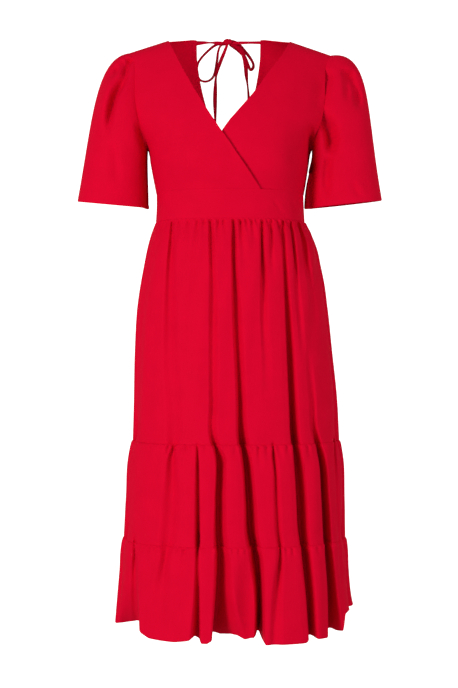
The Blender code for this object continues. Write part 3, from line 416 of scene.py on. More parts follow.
# distances from an edge at which there is always a row or column
EDGE_ROWS = (0.0, 0.0006, 0.0012, 0.0020, 0.0032, 0.0050, 0.0075)
# the same for the rows of a tier, whose gathers are finest at its seam
SEAM_ROWS = (
    0.0, 0.0007, 0.0015, 0.0025, 0.0038, 0.0053, 0.0070, 0.0090, 0.0115, 0.0145, 0.0180, 0.0225, 0.0280,
)
HEM_LINE_ROWS = (-0.0016, -0.0008, -0.0002, 0.0002, 0.0008, 0.0016)  # and beside the hem's upper line
PUFF = 0.0018  # how far a tier's cloth stands out just below its seam
PUFF_DROP = 0.006
PUFF_CLEAR = 0.010  # it ends over this much towards a side seam
WRAP_ROLL = 0.0010  # the wrap's edge stands out a little
WRAP_ROLL_WIDTH = 0.006
WRAP_HOLLOW = 0.0030  # and the under front lies deeper beside it
WRAP_HOLLOW_WIDTH = 0.0045
ROLL_FALLS = (0.2, 0.5)  # falls between which the roll comes in
HOLLOW_FALLS = (0.4, 0.6)  # and the hollow
INSET_FALLS = (0.12, 0.45)  # and the under front's inset
INSET_ENDS = (0.06, 0.11)  # x between which the inset ends again
OPENING_WIDE = 0.012  # the keyhole has a turned edge where its half width is more than this
HEM_ROLL = 0.0014  # how far a hem's very edge turns in
SEAM_TUCK = 0.0003  # how far both pieces turn in at their seam
SEAM_ROUND = 0.0012
SLEEVE_LAP = 0.0004  # the sleeve starts this far inside the bodice
STITCH_DENT = 0.0003
STITCH_ROUND = 0.0007
HEM_STITCH = HEM_HEIGHT - 0.0012  # the stitch line's distance from the hem's edge
FAR = 1.0  # stands for the distance of cloth that has no stitched edge
GATHER_ONSET = 0.005  # a gather reaches its depth this far below its seam
GATHER_CLEAR = 0.004  # and ends over this much towards a side seam
GATHER_WIDENS = 1.2  # at its drop it is wider by this share
GATHER_FADE = 1.6  # exponent with which it fades
GATHER_RIDGES = 0.6  # how much it raises the cloth on both its sides
# small gathers vary between these: their places within equal shares of the seam, the rest as shares
PLEAT_PLACES = (0.15, 0.85)
PLEAT_REACHES = (0.4, 1.5)
PLEAT_DEPTHS = (0.2, 1.3)
PLEAT_WIDTHS = (0.0017, 0.0034)  # in metres
WAVE_LENGTHS = (0.6, 1.7)  # and so do the waves of the cloth's unevenness
FRONT_SEED, BACK_SEED, BAND_SEED, TIER_SEED = 11, 21, 31, 41
WAVES = 7  # their number. They fade out over these distances
SEAM_CALM = 0.05
SIDE_CALM = 0.03
KEYHOLE_CALM = 0.04
CREASE_CLEAR = 0.02  # creases fade over this much towards the waistband
BAND_CLEAR = 0.008  # and those in the waistband towards its edges
CREASE_TURN = 0.25  # and the sleeves' towards the line between front and back, as the sine of the turn


# ---- curves through tables
def smooth(table, at):
    """The columns of a table at positions of its first column, on smooth curves through its rows."""
    position, values = table[:, 0], table[:, 1:]
    slope = np.gradient(values, position, axis=0)
    at = np.atleast_1d(np.asarray(at, float))
    i = np.clip(np.searchsorted(position, at) - 1, 0, len(position) - 2)
    step = (position[i + 1] - position[i])[:, None]
    u = (at - position[i])[:, None] / step
    return (
        (1 + 2 * u) * (1 - u) ** 2 * values[i]
        + u * (1 - u) ** 2 * step * slope[i]
        + u * u * (3 - 2 * u) * values[i + 1]
        + u * u * (u - 1) * step * slope[i + 1]
    )


def ramp(value, low, high):
    """0 below low, 1 above high, and smooth between them."""
    u = np.clip((value - low) / (high - low), 0, 1)
    return u * u * (3 - 2 * u)


def spread(length, step, first=EDGE_ROWS):
    """Distances from 0 to length, close together at both ends."""
    first = np.array(first)
    last = length - first[::-1]
    middle = np.linspace(first[-1], last[0], max(3, round((last[0] - first[-1]) / step)) + 1)
    return np.concatenate([first[:-1], middle, last[1:]])


def run(points, axis):
    """The way along a grid of points, from its first row or column."""
    lengths = np.linalg.norm(np.diff(points, axis=axis), axis=-1)
    start = np.zeros_like(np.take(lengths, [0], axis=axis))
    return np.cumsum(np.concatenate([start, lengths], axis=axis), axis=axis)


def normals(points, side, closed=False):
    """Outward normals of a grid. closed says that its last column joins its first."""
    if closed:
        wrapped = np.concatenate([points[:, -1:], points, points[:, :1]], axis=1)
        across = (wrapped[:, 2:] - wrapped[:, :-2]) / 2
    else:
        across = np.gradient(points, axis=1)
    out = side * np.cross(across, np.gradient(points, axis=0))
    return out / np.maximum(np.linalg.norm(out, axis=-1, keepdims=True), 1e-12)


# ---- what is pressed into the cloth
class Crease(NamedTuple):
    """A soft trough along a line that is drawn on the front or the back, in x and z, from its top down."""

    line: tuple
    depth: float  # along y
    widths: tuple  # to +X and to -X of the line
    fades: tuple = (0.3, 0.3)  # shares of its length over which it starts and ends


class Gather(NamedTuple):
    """A short pleat that hangs from a seam."""

    x: float  # where it leaves the seam
    drop: float  # how far down it reaches
    depth: float
    width: float
    drift: float = 0.0  # its shift along the cloth for each metre down


def pressed(points, crease):
    """How deep a crease is at each point."""
    line = np.array(crease.line)
    place = points[..., (0, 2)]
    legs = np.linalg.norm(np.diff(line, axis=0), axis=1)
    starts = np.concatenate([[0], np.cumsum(legs)])
    nearest = np.full(place.shape[:-1], np.inf)
    share = np.zeros(place.shape[:-1])
    beside = np.zeros(place.shape[:-1])
    for a, b, leg, start in zip(line[:-1], line[1:], legs, starts):
        along = np.clip(((place - a) @ (b - a)) / leg**2, 0, 1)
        gap = place - (a + along[..., None] * (b - a))
        distance = np.linalg.norm(gap, axis=-1)
        closer = distance < nearest
        nearest = np.where(closer, distance, nearest)
        share = np.where(closer, (start + along * leg) / starts[-1], share)
        turn = (b - a)[0] * gap[..., 1] - (b - a)[1] * gap[..., 0]
        beside = np.where(closer, turn, beside)
    width = np.where(beside > 0, crease.widths[0], crease.widths[1])
    fade = ramp(share, 0, crease.fades[0]) * ramp(1 - share, 0, crease.fades[1])
    return crease.depth * fade * np.exp(-((nearest / width) ** 2))


def press(points, creases, side, share):
    """Push the creases into the points, along y. share is how much of them each point takes."""
    total = sum(pressed(points, crease) for crease in creases)
    points[..., 1] -= side * share * total


def hung(gathers, at, drop, seam_x, seam_way):
    """How deep the gathers are. at is the way along each row, and drop the distance below the seam."""
    total = np.zeros_like(at)
    for gather in gathers:
        start = np.interp(gather.x, seam_x, seam_way) / seam_way[-1] * at[:, -1:]
        width = gather.width * (1 + GATHER_WIDENS * drop / gather.drop)
        away = (at - start - gather.drift * drop) / width
        onset = ramp(drop, 0, GATHER_ONSET)
        fade = np.exp(-((drop / gather.drop) ** GATHER_FADE))
        total += gather.depth * onset * fade * (1 - GATHER_RIDGES * away**2) * np.exp(-(away**2) / 2)
    return total


def small_gathers(seed, half_width, count, depth, reach):
    """Uneven small pleats, all along a seam: count of them, about this deep and reaching about this far."""
    random = np.random.RandomState(seed)
    turns = math.pi * (np.arange(count) + random.uniform(*PLEAT_PLACES, count)) / count
    return tuple(
        Gather(
            -half_width * math.cos(turn), reach * random.uniform(*PLEAT_REACHES),
            depth * random.uniform(*PLEAT_DEPTHS), random.uniform(*PLEAT_WIDTHS),
        )
        for turn in turns
    )


def gathers_of(*rows):
    """Gathers from rows of a table. Most rows leave the drift out."""
    return tuple(Gather(*row) for row in rows)


def sway(at, drop, seed, reach, height, tilt):
    """A gentle unevenness of the cloth: seeded waves about this long and high, which lean this much."""
    random = np.random.RandomState(seed)
    total = np.zeros_like(at)
    for _ in range(WAVES):
        lean, length = random.uniform(-tilt, tilt), reach * random.uniform(*WAVE_LENGTHS)
        total += np.cos(2 * math.pi * (at + lean * drop) / length + random.uniform(0, 2 * math.pi))
    return height * total / math.sqrt(WAVES)


def tucked(distance):
    """How far a seam's edge is turned in, at this distance from it."""
    return SEAM_TUCK * np.exp(-((distance / SEAM_ROUND) ** 2))


def rolled(distance):
    """How far a hem's edge turns in, at this distance from it."""
    return HEM_ROLL * np.exp(-((distance / HEM_ROLL) ** 2))


def stitched(distance, line):
    """The dent of a stitch line, at this distance from the edge."""
    return STITCH_DENT * np.exp(-(((distance - line) / STITCH_ROUND) ** 2))


def turned(edge, start, step=0.0004):
    """1 on cloth that is turned in along an edge, 0 from this distance on, and a step between."""
    return 1 - ramp(edge, start - step, start + step)


def dented(points, dent, side, closed=False):
    """The points moved inward by the dent."""
    return points - dent[..., None] * normals(points, side, closed)


# ---- creases and gathers
RIGHT_FRONT_CREASES = (
    Crease(
        (
            (-0.197, -0.033), (-0.2075, -0.066), (-0.2165, -0.083), (-0.227, -0.101), (-0.234, -0.13),
            (-0.2375, -0.162), (-0.2375, -0.19),
        ),
        0.024, (0.006, 0.008), (0.45, 0.45),
    ),
    Crease(
        ((-0.224, -0.05), (-0.237, -0.083), (-0.247, -0.115), (-0.252, -0.15), (-0.254, -0.185)),
        -0.006, (0.009, 0.012), (0.3, 0.4),
    ),
    Crease(((-0.196, -0.023), (-0.204, -0.042), (-0.213, -0.07)), 0.013, (0.005, 0.008), (0.1, 0.5)),
    Crease(((-0.21, -0.028), (-0.222, -0.044), (-0.233, -0.068)), 0.008, (0.004, 0.006), (0.1, 0.5)),
    Crease(((-0.222, -0.038), (-0.235, -0.054), (-0.245, -0.076)), 0.004, (0.005, 0.006), (0.2, 0.5)),
    Crease(
        ((-0.229, -0.185), (-0.224, -0.21), (-0.222, -0.235), (-0.222, -0.26), (-0.216, -0.29)),
        0.005, (0.006, 0.013), (0.25, 0.5),
    ),
    Crease(
        ((-0.183, -0.15), (-0.177, -0.17), (-0.171, -0.19), (-0.1645, -0.208), (-0.16, -0.225)),
        0.013, (0.004, 0.007), (0.4, 0.1),
    ),
    Crease(((-0.16, -0.21), (-0.161, -0.25), (-0.162, -0.325)), 0.036, (0.006, 0.007), (0.2, 0.01)),
)
RIGHT_BACK_CREASES = (
    Crease(((-0.2, -0.04), (-0.22, -0.09), (-0.232, -0.14), (-0.233, -0.2)), 0.01, (0.009, 0.008)),
    Crease(((-0.176, -0.13), (-0.17, -0.17), (-0.164, -0.22)), 0.01, (0.006, 0.009), (0.35, 0.1)),
    Crease(((-0.215, -0.19), (-0.208, -0.24), (-0.206, -0.295)), 0.006, (0.009, 0.009)),
    Crease(((-0.242, -0.06), (-0.258, -0.11), (-0.266, -0.19)), 0.0045, (0.008, 0.009)),
)
LEFT_FRONT_CREASES = (
    Crease(
        ((0.225, -0.042), (0.229, -0.062), (0.231, -0.085), (0.231, -0.125)),
        0.01, (0.008, 0.008), (0.15, 0.5),
    ),
    Crease(
        ((0.234, -0.045), (0.242, -0.066), (0.249, -0.088), (0.253, -0.115), (0.254, -0.135)),
        0.016, (0.008, 0.008), (0.15, 0.4),
    ),
    Crease(((0.248, -0.05), (0.256, -0.07), (0.262, -0.093)), 0.004, (0.005, 0.006)),
    Crease(((0.196, -0.045), (0.189, -0.074), (0.176, -0.11)), 0.009, (0.011, 0.015)),
    Crease(
        (
            (0.172, -0.13), (0.182, -0.15), (0.193, -0.168), (0.1975, -0.19), (0.1965, -0.208),
            (0.191, -0.228),
        ),
        0.031, (0.012, 0.01), (0.4, 0.4),
    ),
    Crease(((0.193, -0.215), (0.189, -0.25), (0.188, -0.31)), 0.011, (0.008, 0.0075), (0.2, 0.4)),
    Crease(
        ((0.159, -0.16), (0.159, -0.183), (0.16, -0.215), (0.162, -0.25)),
        0.03, (0.0055, 0.006), (0.3, 0.1),
    ),
    Crease(((0.162, -0.22), (0.163, -0.26), (0.163, -0.325)), 0.025, (0.005, 0.006), (0.2, 0.01)),
    Crease(((0.238, -0.273), (0.247, -0.288), (0.259, -0.302)), 0.0045, (0.006, 0.007)),
    Crease(((0.244, -0.269), (0.254, -0.283), (0.265, -0.296)), -0.002, (0.007, 0.007)),
)
LEFT_BACK_CREASES = (
    Crease(((0.205, -0.04), (0.22, -0.09), (0.233, -0.15), (0.235, -0.21)), 0.01, (0.008, 0.009)),
    Crease(((0.174, -0.13), (0.169, -0.17), (0.164, -0.22)), 0.01, (0.009, 0.006), (0.35, 0.1)),
    Crease(((0.208, -0.18), (0.199, -0.23), (0.197, -0.29)), 0.006, (0.009, 0.009)),
    Crease(((0.248, -0.06), (0.264, -0.12), (0.27, -0.19)), 0.005, (0.009, 0.008)),
)
SLEEVE_CREASES = {
    -1: (RIGHT_FRONT_CREASES, RIGHT_BACK_CREASES),
    1: (LEFT_FRONT_CREASES, LEFT_BACK_CREASES),
}
# at the armhole, a sleeve's seventh front crease and its second back one go on into the bodice
ARMHOLE_CREASES = {side: (front[6:7], back[1:2]) for side, (front, back) in SLEEVE_CREASES.items()}
BODICE_CREASES = (
    Crease(((-0.16, -0.19), (-0.13, -0.215), (-0.095, -0.23)), 0.0016, (0.008, 0.008)),
    Crease(((0.156, -0.2), (0.13, -0.23), (0.105, -0.245)), 0.002, (0.009, 0.009)),
    Crease(((0.185, -0.06), (0.176, -0.1), (0.168, -0.14)), 0.004, (0.011, 0.014)),
    Crease(((0.164, -0.15), (0.156, -0.22), (0.152, -0.3)), 0.012, (0.02, 0.013), (0.3, 0.1)),
)
BAND_CREASES = (
    Crease(((0.079, -0.308), (0.09, -0.32), (0.102, -0.338)), 0.0016, (0.004, 0.004)),
    Crease(((0.118, -0.3), (0.124, -0.318), (0.13, -0.34)), 0.0014, (0.005, 0.005)),
)
# the gathers that stand out on the front: x, drop, depth, width and drift
WAIST_GATHERS = gathers_of(
    (0.147, 0.01, -0.004, 0.004), (-0.13, 0.022, 0.0022, 0.0026), (-0.0978, 0.05, 0.003, 0.0026),
    (-0.0807, 0.04, 0.0036, 0.0028), (-0.0621, 0.06, 0.0046, 0.003), (-0.049, 0.024, 0.0032, 0.0024),
    (-0.0225, 0.044, 0.005, 0.0028), (-0.0122, 0.024, 0.0036, 0.0024), (0.0191, 0.06, 0.0064, 0.0028),
    (0.031, 0.02, 0.0028, 0.0022), (0.0404, 0.036, 0.005, 0.0026), (0.05, 0.016, 0.0026, 0.0022),
    (0.0715, 0.026, 0.0036, 0.0022), (0.0905, 0.04, 0.0044, 0.0026), (0.11, 0.02, 0.003, 0.0022),
    (0.127, 0.02, 0.0028, 0.0022),
)
MIDDLE_GATHERS = gathers_of(
    (-0.15, 0.018, 0.0024, 0.0028), (-0.1164, 0.03, 0.0052, 0.0026), (-0.105, 0.046, 0.0056, 0.0032, -0.1),
    (-0.093, 0.018, 0.0036, 0.0024), (-0.082, 0.024, 0.0042, 0.0026), (-0.073, 0.014, 0.003, 0.0022),
    (-0.045, 0.014, 0.0026, 0.0022), (-0.0117, 0.03, 0.004, 0.0024), (-0.006, 0.024, 0.004, 0.0024),
    (0.01, 0.016, 0.003, 0.0022), (0.043, 0.024, 0.0036, 0.0024), (0.054, 0.034, 0.005, 0.0028),
    (0.07, 0.018, 0.0036, 0.0024), (0.093, 0.02, 0.0034, 0.0024), (0.108, 0.016, 0.0028, 0.0022),
    (0.148, 0.018, 0.003, 0.0022),
)
LOWER_GATHERS = gathers_of(
    (-0.172, 0.012, 0.0022, 0.0022), (-0.155, 0.02, 0.003, 0.0026), (-0.142, 0.012, 0.0022, 0.0022),
    (-0.099, 0.016, 0.003, 0.0024), (-0.086, 0.02, 0.0034, 0.0026), (-0.042, 0.012, 0.0024, 0.0022),
    (-0.033, 0.016, 0.0028, 0.0024), (0.006, 0.018, 0.003, 0.0024), (0.018, 0.014, 0.0026, 0.0022),
    (0.029, 0.01, 0.0022, 0.002), (0.073, 0.014, 0.0026, 0.0022), (0.106, 0.016, 0.0028, 0.0024),
    (0.118, 0.016, 0.0028, 0.0024), (0.166, 0.014, 0.0026, 0.0022),
)


# ---- half rings
def half_ring(angle, right, left, depth, side):
    """x and y on a half ring. angle goes from 0 at the right to pi at the left. side is -1 for front."""
    across, away = np.cos(angle), np.abs(np.sin(angle))
    width = np.where(across > 0, right, left)
    x = -np.sign(across) * width * np.abs(across) ** (2 / SQUARE)
    return x, side * depth * away ** (2 / SQUARE)


def angle_at(x, half_width):
    """The angle of a half ring at which it has this x."""
    return np.arccos(-np.sign(x) * np.minimum(np.abs(x) / half_width, 1) ** (SQUARE / 2))


def ring_at(table, z, angle, side):
    """x and y on the half rings of a table, one for each z."""
    right, left, front, back = smooth(table, z).T[:, :, None]
    return half_ring(angle, right, left, front if side < 0 else back, side)


def ways(points, seam_first=True):
    """Distances on a piece: along its rows, from its seam, its other end, its top and its bottom."""
    along, down = run(points, 1), run(points, 0)
    rest = along[:, -1:] - along
    seam, edge = (along, rest) if seam_first else (rest, along)
    return along, seam, edge, down, down[-1:] - down


# ---- bodice
def torso_rows(fall):
    """Half widths, front depths and back depths of the torso, as columns."""
    rows = TORSO.copy()
    rows[:, 0] = np.sqrt(rows[:, 0])  # so that the top of the shoulder is round
    return smooth(rows, np.sqrt(fall)).T[:, :, None]


def torso(fall, angle, side):
    """Points on the torso: one fall for each row of angles."""
    half_width, front, back = torso_rows(fall)
    fall = fall[:, None]
    x, y = half_ring(angle, half_width, half_width, front if side < 0 else back, side)
    shoulder = NECK_Z + (NECK_X - np.abs(x)) * SHOULDER_SLOPE - x * SHOULDER_TILT
    z = shoulder + (Z_BAND - shoulder) * fall
    if side < 0:
        apart = ((np.abs(x) - BUST_X) / BUST_SPREAD) ** 2 + ((fall - BUST_FALL) / BUST_TALL) ** 2
        y = y - BUST_OUT * np.exp(-apart) * ramp(1 - fall, 0, BUST_CLEAR)
    return np.stack([x, y, z], axis=-1)


def armhole_angle(fall):
    """Where the armhole, and below it the side seam, lies on the torso's half ring."""
    return ARM_TURN * np.sqrt(1 - np.minimum(fall / UNDERARM, 1) ** 3)


def arm_turns():
    """Turns round the armhole's front half, from 0 at the shoulder to pi at the underarm."""
    even = math.pi * np.arange(1, ARM_ROWS + 1) / ARM_ROWS
    return np.concatenate([SHOULDER_TURNS, even])


def bodice_falls():
    """The falls of the bodice's rows: round the armhole, down the side, and close together at the waist."""
    arm = UNDERARM * (1 - np.cos(arm_turns())) / 2
    below = UNDERARM + (1 - UNDERARM) * np.arange(1, SIDE_ROWS + 1) / SIDE_ROWS
    near = below[-1] - np.array(EDGE_ROWS[::-1]) / abs(Z_BAND)
    return np.concatenate([arm, below[below < near[0] - ROW_CLEAR], near])


def keyhole_x(fall):
    """Half width of the back's opening, from the neck's end of the shoulder seam to its lowest point."""
    share = np.clip((fall - KEYHOLE_TOP) / (KEYHOLE_BOTTOM - KEYHOLE_TOP), 0, 1)
    opening = KEYHOLE_X * np.sqrt(1 - share**KEYHOLE_SHAPE)
    neck = NECK_X + (KEYHOLE_X - NECK_X) * np.minimum(fall / KEYHOLE_CORNER, 1) ** NECK_SHAPE
    return np.where(fall <= KEYHOLE_CORNER, neck, opening)


def columns_between(start, end, count, width):
    """Angles of each row's columns, with some close to its ends. width is about the row's length."""
    shares = spread(width, width / count) / width
    return start[:, None] + (end - start)[:, None] * shares


# ---- skirt
RING_ANGLES = np.linspace(0, math.pi, 721)


def rings(table, z, side):
    """Half rings without folds, one for each z: x, y and the way along."""
    x, y = ring_at(table, z, RING_ANGLES, side)
    return x, y, run(np.stack([x, y], axis=-1), 1)


def dip(away, right, left):
    """A trough's section: 1 at its bottom and 0 from its edges on."""
    return (1 + np.cos(math.pi * np.clip(away / np.where(away < 0, right, left), -1, 1))) / 2


def fold_at(fold, z):
    """x, depth and the two widths of a fold at these heights, as columns."""
    rows = np.array(fold.rows)[::-1]
    x, depth, right, left = smooth(rows, np.clip(z, rows[0, 0], rows[-1, 0])).T[:, :, None]
    if fold.beside:
        x = x * smooth(HALF_WIDTHS, z)[:, [int(x[0, 0] > 0)]]
    depth = np.maximum(depth, 0) * ramp(Z_WAIST - z, 0, WAIST_EASE)[:, None]
    return x[:, 0], depth, right, left


def folded(at, z, x, way, folds, side):
    """The shift in x and y that the folds make. at is the way along each row of the ring."""
    shift = np.zeros(at.shape + (2,))
    clear = ramp(np.minimum(at, way[:, -1:] - at), 0, FOLD_CLEAR)
    for fold in folds:
        place, depth, right, left = fold_at(fold, z)
        away = at - along_at(place, x, way)
        broad = SHOULDER_WIDTH * (right + left)
        shoulder = SHOULDER * np.minimum(depth, SHOULDER_MOST) * dip(away, broad, broad)
        push = clear * (depth * dip(away, right, left) + shoulder)
        shift[..., 0] += push * math.sin(math.radians(fold.heading))
        shift[..., 1] -= side * push * math.cos(math.radians(fold.heading))
    return shift


def along_at(place, x, way):
    """The way along each row to this x, as a column."""
    return np.array([np.interp(at, row, along) for at, row, along in zip(place, x, way)])[:, None]


def guide_lines(x, way, z, folds):
    """The ways along each row to its start, to the folds that run the tier's height, and to its end."""
    top, bottom = z[0] - THROUGH, z[-1] + THROUGH
    through = [fold for fold in folds if fold.rows[0][0] >= top and fold.rows[-1][0] <= bottom]
    lines = [along_at(fold_at(fold, z)[0], x, way) for fold in through]
    return np.concatenate([np.zeros((len(z), 1)), *lines, way[:, -1:]], axis=1)


def tier_columns(table, z, side, folds):
    """Columns as guide line numbers plus shares, evenly spaced on the folded cloth of one low row."""
    x, y, way = rings(table, z, side)
    guides = guide_lines(x, way, z, folds)
    low = int(len(z) * SPACING_ROW)
    row = slice(low, low + 1)
    at = np.linspace(0, way[low, -1], SPACING_STEPS)[None]
    ring = np.stack([np.interp(at, way[low], x[low]), np.interp(at, way[low], y[low])], axis=-1)
    cloth = run(ring + folded(at, z[row], x[row], way[row], folds, side), 1)[0]
    spaced = np.interp(spread(cloth[-1], cloth[-1] / SKIRT_COLUMNS[side]), cloth, at[0])
    return np.interp(spaced, guides[low], np.arange(guides.shape[1]))


class Tier(NamedTuple):
    """A tier's half: its table, folds and gathers, and the seed of its unevenness."""

    table: np.ndarray
    folds: tuple
    gathers: tuple
    seed: int
    hem: bool = False


def tier(made, side):
    """A tier's half: its points, texture coordinates, wall and stitch coordinates."""
    low, high = made.table[0, 0], made.table[-1, 0]
    drop = spread(high - low, ROW_STEP, SEAM_ROWS)
    if made.hem:
        drop = np.unique(np.concatenate([drop, high - low - HEM_HEIGHT + np.array(HEM_LINE_ROWS)]))
    z = high - drop
    x, y, way = rings(made.table, z, side)
    guides = guide_lines(x, way, z, made.folds)
    columns = tier_columns(made.table, z, side, made.folds)
    at = np.array([np.interp(columns, np.arange(len(row)), row) for row in guides])
    points = np.stack([
        [np.interp(place, along, row) for place, along, row in zip(at, way, x)],
        [np.interp(place, along, row) for place, along, row in zip(at, way, y)],
        np.broadcast_to(z[:, None], at.shape),
    ], axis=-1)
    points[..., :2] += folded(at, z, x, way, made.folds, side)
    drop = drop[:, None]
    edge = drop[-1] - drop
    ends = np.minimum(at, way[:, -1:] - at)
    if made.hem:
        line = FRONT_HEM if side < 0 else BACK_HEM
        near = points[-1, :, 0] + HEM_EASE * np.linspace(-1, 1, 5)[:, None]
        lift = np.interp(near, line[:, 0], line[:, 1]).mean(axis=0)
        points[..., 2] += lift * (drop / drop[-1]) ** HEM_LIFT_SHAPE

    dent = hung(made.gathers, at, drop, x[0], way[0]) * ramp(ends, 0, GATHER_CLEAR)
    dent += tucked(drop) + tucked(ends)
    if made.table is not UPPER_TIER:
        dent -= PUFF * drop / PUFF_DROP * np.exp(1 - drop / PUFF_DROP) * ramp(ends, 0, PUFF_CLEAR)
    calm = ramp(drop, 0, SEAM_CALM) * ramp(ends, 0, SIDE_CALM)
    if not made.hem:
        dent += tucked(edge)
        calm = calm * ramp(edge, 0, SEAM_CALM)
    dent += calm * sway(at, drop, made.seed, reach=0.06, height=0.001, tilt=0.06)
    wall = np.full(at.shape, WALL)
    if made.hem:
        dent += stitched(edge, HEM_STITCH) + rolled(edge)
        wall += (HEM_WALL - WALL) * turned(edge, HEM_HEIGHT, step=0.0003)
    points = dented(points, dent, side)
    return points, flat(points), wall, pairs(run(points, 1), edge if made.hem else np.full(drop.shape, FAR))


def pairs(along, beside):
    """Texture coordinates from the two ways."""
    return np.stack(np.broadcast_arrays(along, beside), axis=-1)


def flat(points):
    """Texture coordinates in metres: the mean way along the rows, and along the columns."""
    across, down = run(points, 1).mean(axis=0), run(points, 0).mean(axis=1)
    return pairs(across[None, :], -down[:, None])


# ---- meshes
def piece(name, points, faces, material, smooth_shaded=True):
    """A new mesh object."""
    mesh = bpy.data.meshes.new(name)
    mesh.from_pydata(points, [], faces)
    mesh.polygons.foreach_set("use_smooth", np.full(len(mesh.polygons), smooth_shaded))
    mesh.materials.append(material)
    return placed(name, mesh)


def placed(name, data):
    """A new object in the scene that holds this mesh, light or camera."""
    obj = bpy.data.objects.new(name, data)
    bpy.context.scene.collection.objects.link(obj)
    return obj


def joined(parts, side, closed):
    """The parts as one: points, texture and stitch coordinates, walls, and faces that share points."""
    points, places, walls, stitches, faces = [], [], [], [], []
    for grid, coordinates, wall, stitch in parts:
        rows, columns = grid.shape[:2]
        index = sum(len(p) for p in points) + np.arange(rows * columns).reshape(rows, columns)
        after = np.roll(index, -1, axis=1) if closed else index[:, 1:]
        now = index if closed else index[:, :-1]
        quads = np.stack([now[:-1], now[1:], after[1:], after[:-1]], axis=-1).reshape(-1, 4)
        faces.append(quads if side < 0 else quads[:, ::-1])
        points.append(grid.reshape(-1, 3))
        places.append(coordinates.reshape(-1, 2))
        walls.append(wall.reshape(-1))
        stitches.append(stitch.reshape(-1, 2))
    points, places, walls, stitches, faces = map(np.concatenate, (points, places, walls, stitches, faces))
    spots = np.round(points / SAME_PLACE).astype(np.int64)
    _, first, same = np.unique(spots, axis=0, return_index=True, return_inverse=True)
    return points[first], places[first], stitches[first], walls[first], same.reshape(-1)[faces]


def shell(name, parts, side, material, closed=False):
    """A closed cloth mesh. Each part has points, texture coordinates, a wall and stitch coordinates."""
    points, places, stitches, walls, faces = joined(parts, side, closed)
    out = np.cross(points[faces[:, 2]] - points[faces[:, 0]], points[faces[:, 3]] - points[faces[:, 1]])
    normal = np.zeros_like(points)
    for corner in range(4):
        np.add.at(normal, faces[:, corner], out)
    normal /= np.maximum(np.linalg.norm(normal, axis=1, keepdims=True), 1e-15)
    count = len(points)
    points = np.concatenate([points, points - normal * walls[:, None]])

    starts, ends = faces.reshape(-1), np.roll(faces, -1, axis=1).reshape(-1)
    rim = ~np.isin(starts * count + ends, ends * count + starts)
    starts, ends = starts[rim], ends[rim]
    rims = np.stack([ends, starts, starts + count, ends + count], axis=1)
    everything = np.concatenate([faces, faces[:, ::-1] + count, rims])

    obj = piece(name, points.tolist(), everything.tolist(), material)
    mesh = obj.data
    edges = np.empty(len(mesh.edges) * 2, np.int64)
    mesh.edges.foreach_get("vertices", edges)
    edges = np.sort(edges.reshape(-1, 2), axis=1)
    border = np.sort(np.stack([starts, ends], axis=1), axis=1)
    border = np.concatenate([border, border + count])
    mesh.edges.foreach_set("use_edge_sharp", np.isin(edges @ [2 * count, 1], border @ [2 * count, 1]))
    corners = np.empty(len(mesh.loops), np.int64)
    mesh.loops.foreach_get("vertex_index", corners)
    for title, coordinates in (("cloth", places), ("stitch", stitches)):
        layer = mesh.uv_layers.new(name=title)
        layer.data.foreach_set("uv", np.concatenate([coordinates, coordinates])[corners].reshape(-1))
    return obj


def settle(obj, node):
    """The piece rides with the dress in place of its CAD node."""
    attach(obj, "root")
    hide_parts(node)


# ---- ties
def tie_at(route, at):
    """The columns of a route at shares of its way."""
    table = np.column_stack([np.linspace(0, 1, len(route)), np.array(route)])
    return smooth(table, at)


def tucked_in(route, leads):
    """The route with its ends led on into the knot or the cloth."""
    route = list(route)
    for end, beside, lead in ((0, 1, leads[0]), (-1, -2, leads[1])):
        last, before = np.array(route[end]), np.array(route[beside])
        step = last[:3] - before[:3]
        last[:3] += step / np.linalg.norm(step) * lead
        route[end] = tuple(last)
    return tuple(route)


def tie(name, route, material):
    """A flat tape, twisted as its route says: its object, the line that it follows and its length."""
    route = tucked_in(route, TIE_LEADS[name.split("_")[1]])
    rough = tie_at(route, np.linspace(0, 1, MEASURE_STEPS))[:, :3]
    length = float(np.linalg.norm(np.diff(rough, axis=0), axis=1).sum())
    at = np.linspace(0, 1, max(12, round(length / TIE_STEP)) + 1)
    ways = tie_at(route, at)
    middle, width, turn = ways[:, :3], ways[:, 3], np.radians(ways[:, 4])
    ahead = np.gradient(middle, axis=0)
    ahead /= np.linalg.norm(ahead, axis=1, keepdims=True)
    across = np.cross(ahead, (0, 1, 0))
    across /= np.linalg.norm(across, axis=1, keepdims=True)
    facing = np.cross(across, ahead)
    cosine, sine = np.cos(turn)[:, None], np.sin(turn)[:, None]
    flatwise, through = across * cosine + facing * sine, facing * cosine - across * sine
    ring = np.linspace(0, 2 * math.pi, TIE_CORNERS, endpoint=False)
    edge = np.sign(np.cos(ring)) * np.abs(np.cos(ring)) ** TIE_EDGE_SHAPE
    crown = np.sign(np.sin(ring)) * np.abs(np.sin(ring)) ** TIE_CROWN_SHAPE
    taper = np.sqrt(np.clip(np.minimum(at, 1 - at) * length / TIE_TAPER, TIE_TIP, 1))
    half = (width * taper / 2)[:, None, None]
    thick = (TIE_THICK * taper / 2)[:, None, None]
    sideways = flatwise[:, None] * edge[None, :, None] * half
    grid = middle[:, None] + sideways + through[:, None] * crown[None, :, None] * thick
    index = np.arange(len(at) * TIE_CORNERS).reshape(len(at), TIE_CORNERS)
    after = np.roll(index, -1, axis=1)
    quads = np.stack([index[:-1], after[:-1], after[1:], index[1:]], axis=-1).reshape(-1, 4).tolist()
    ends = [index[0, ::-1].tolist(), index[-1].tolist()]
    obj = piece("bow_" + name[len("tie_"):], grid.reshape(-1, 3).tolist(), quads + ends, material)
    path = tie_at(route, np.linspace(0, 1, TIE_PATH_POINTS))[:, :3]
    return obj, path.tolist(), length


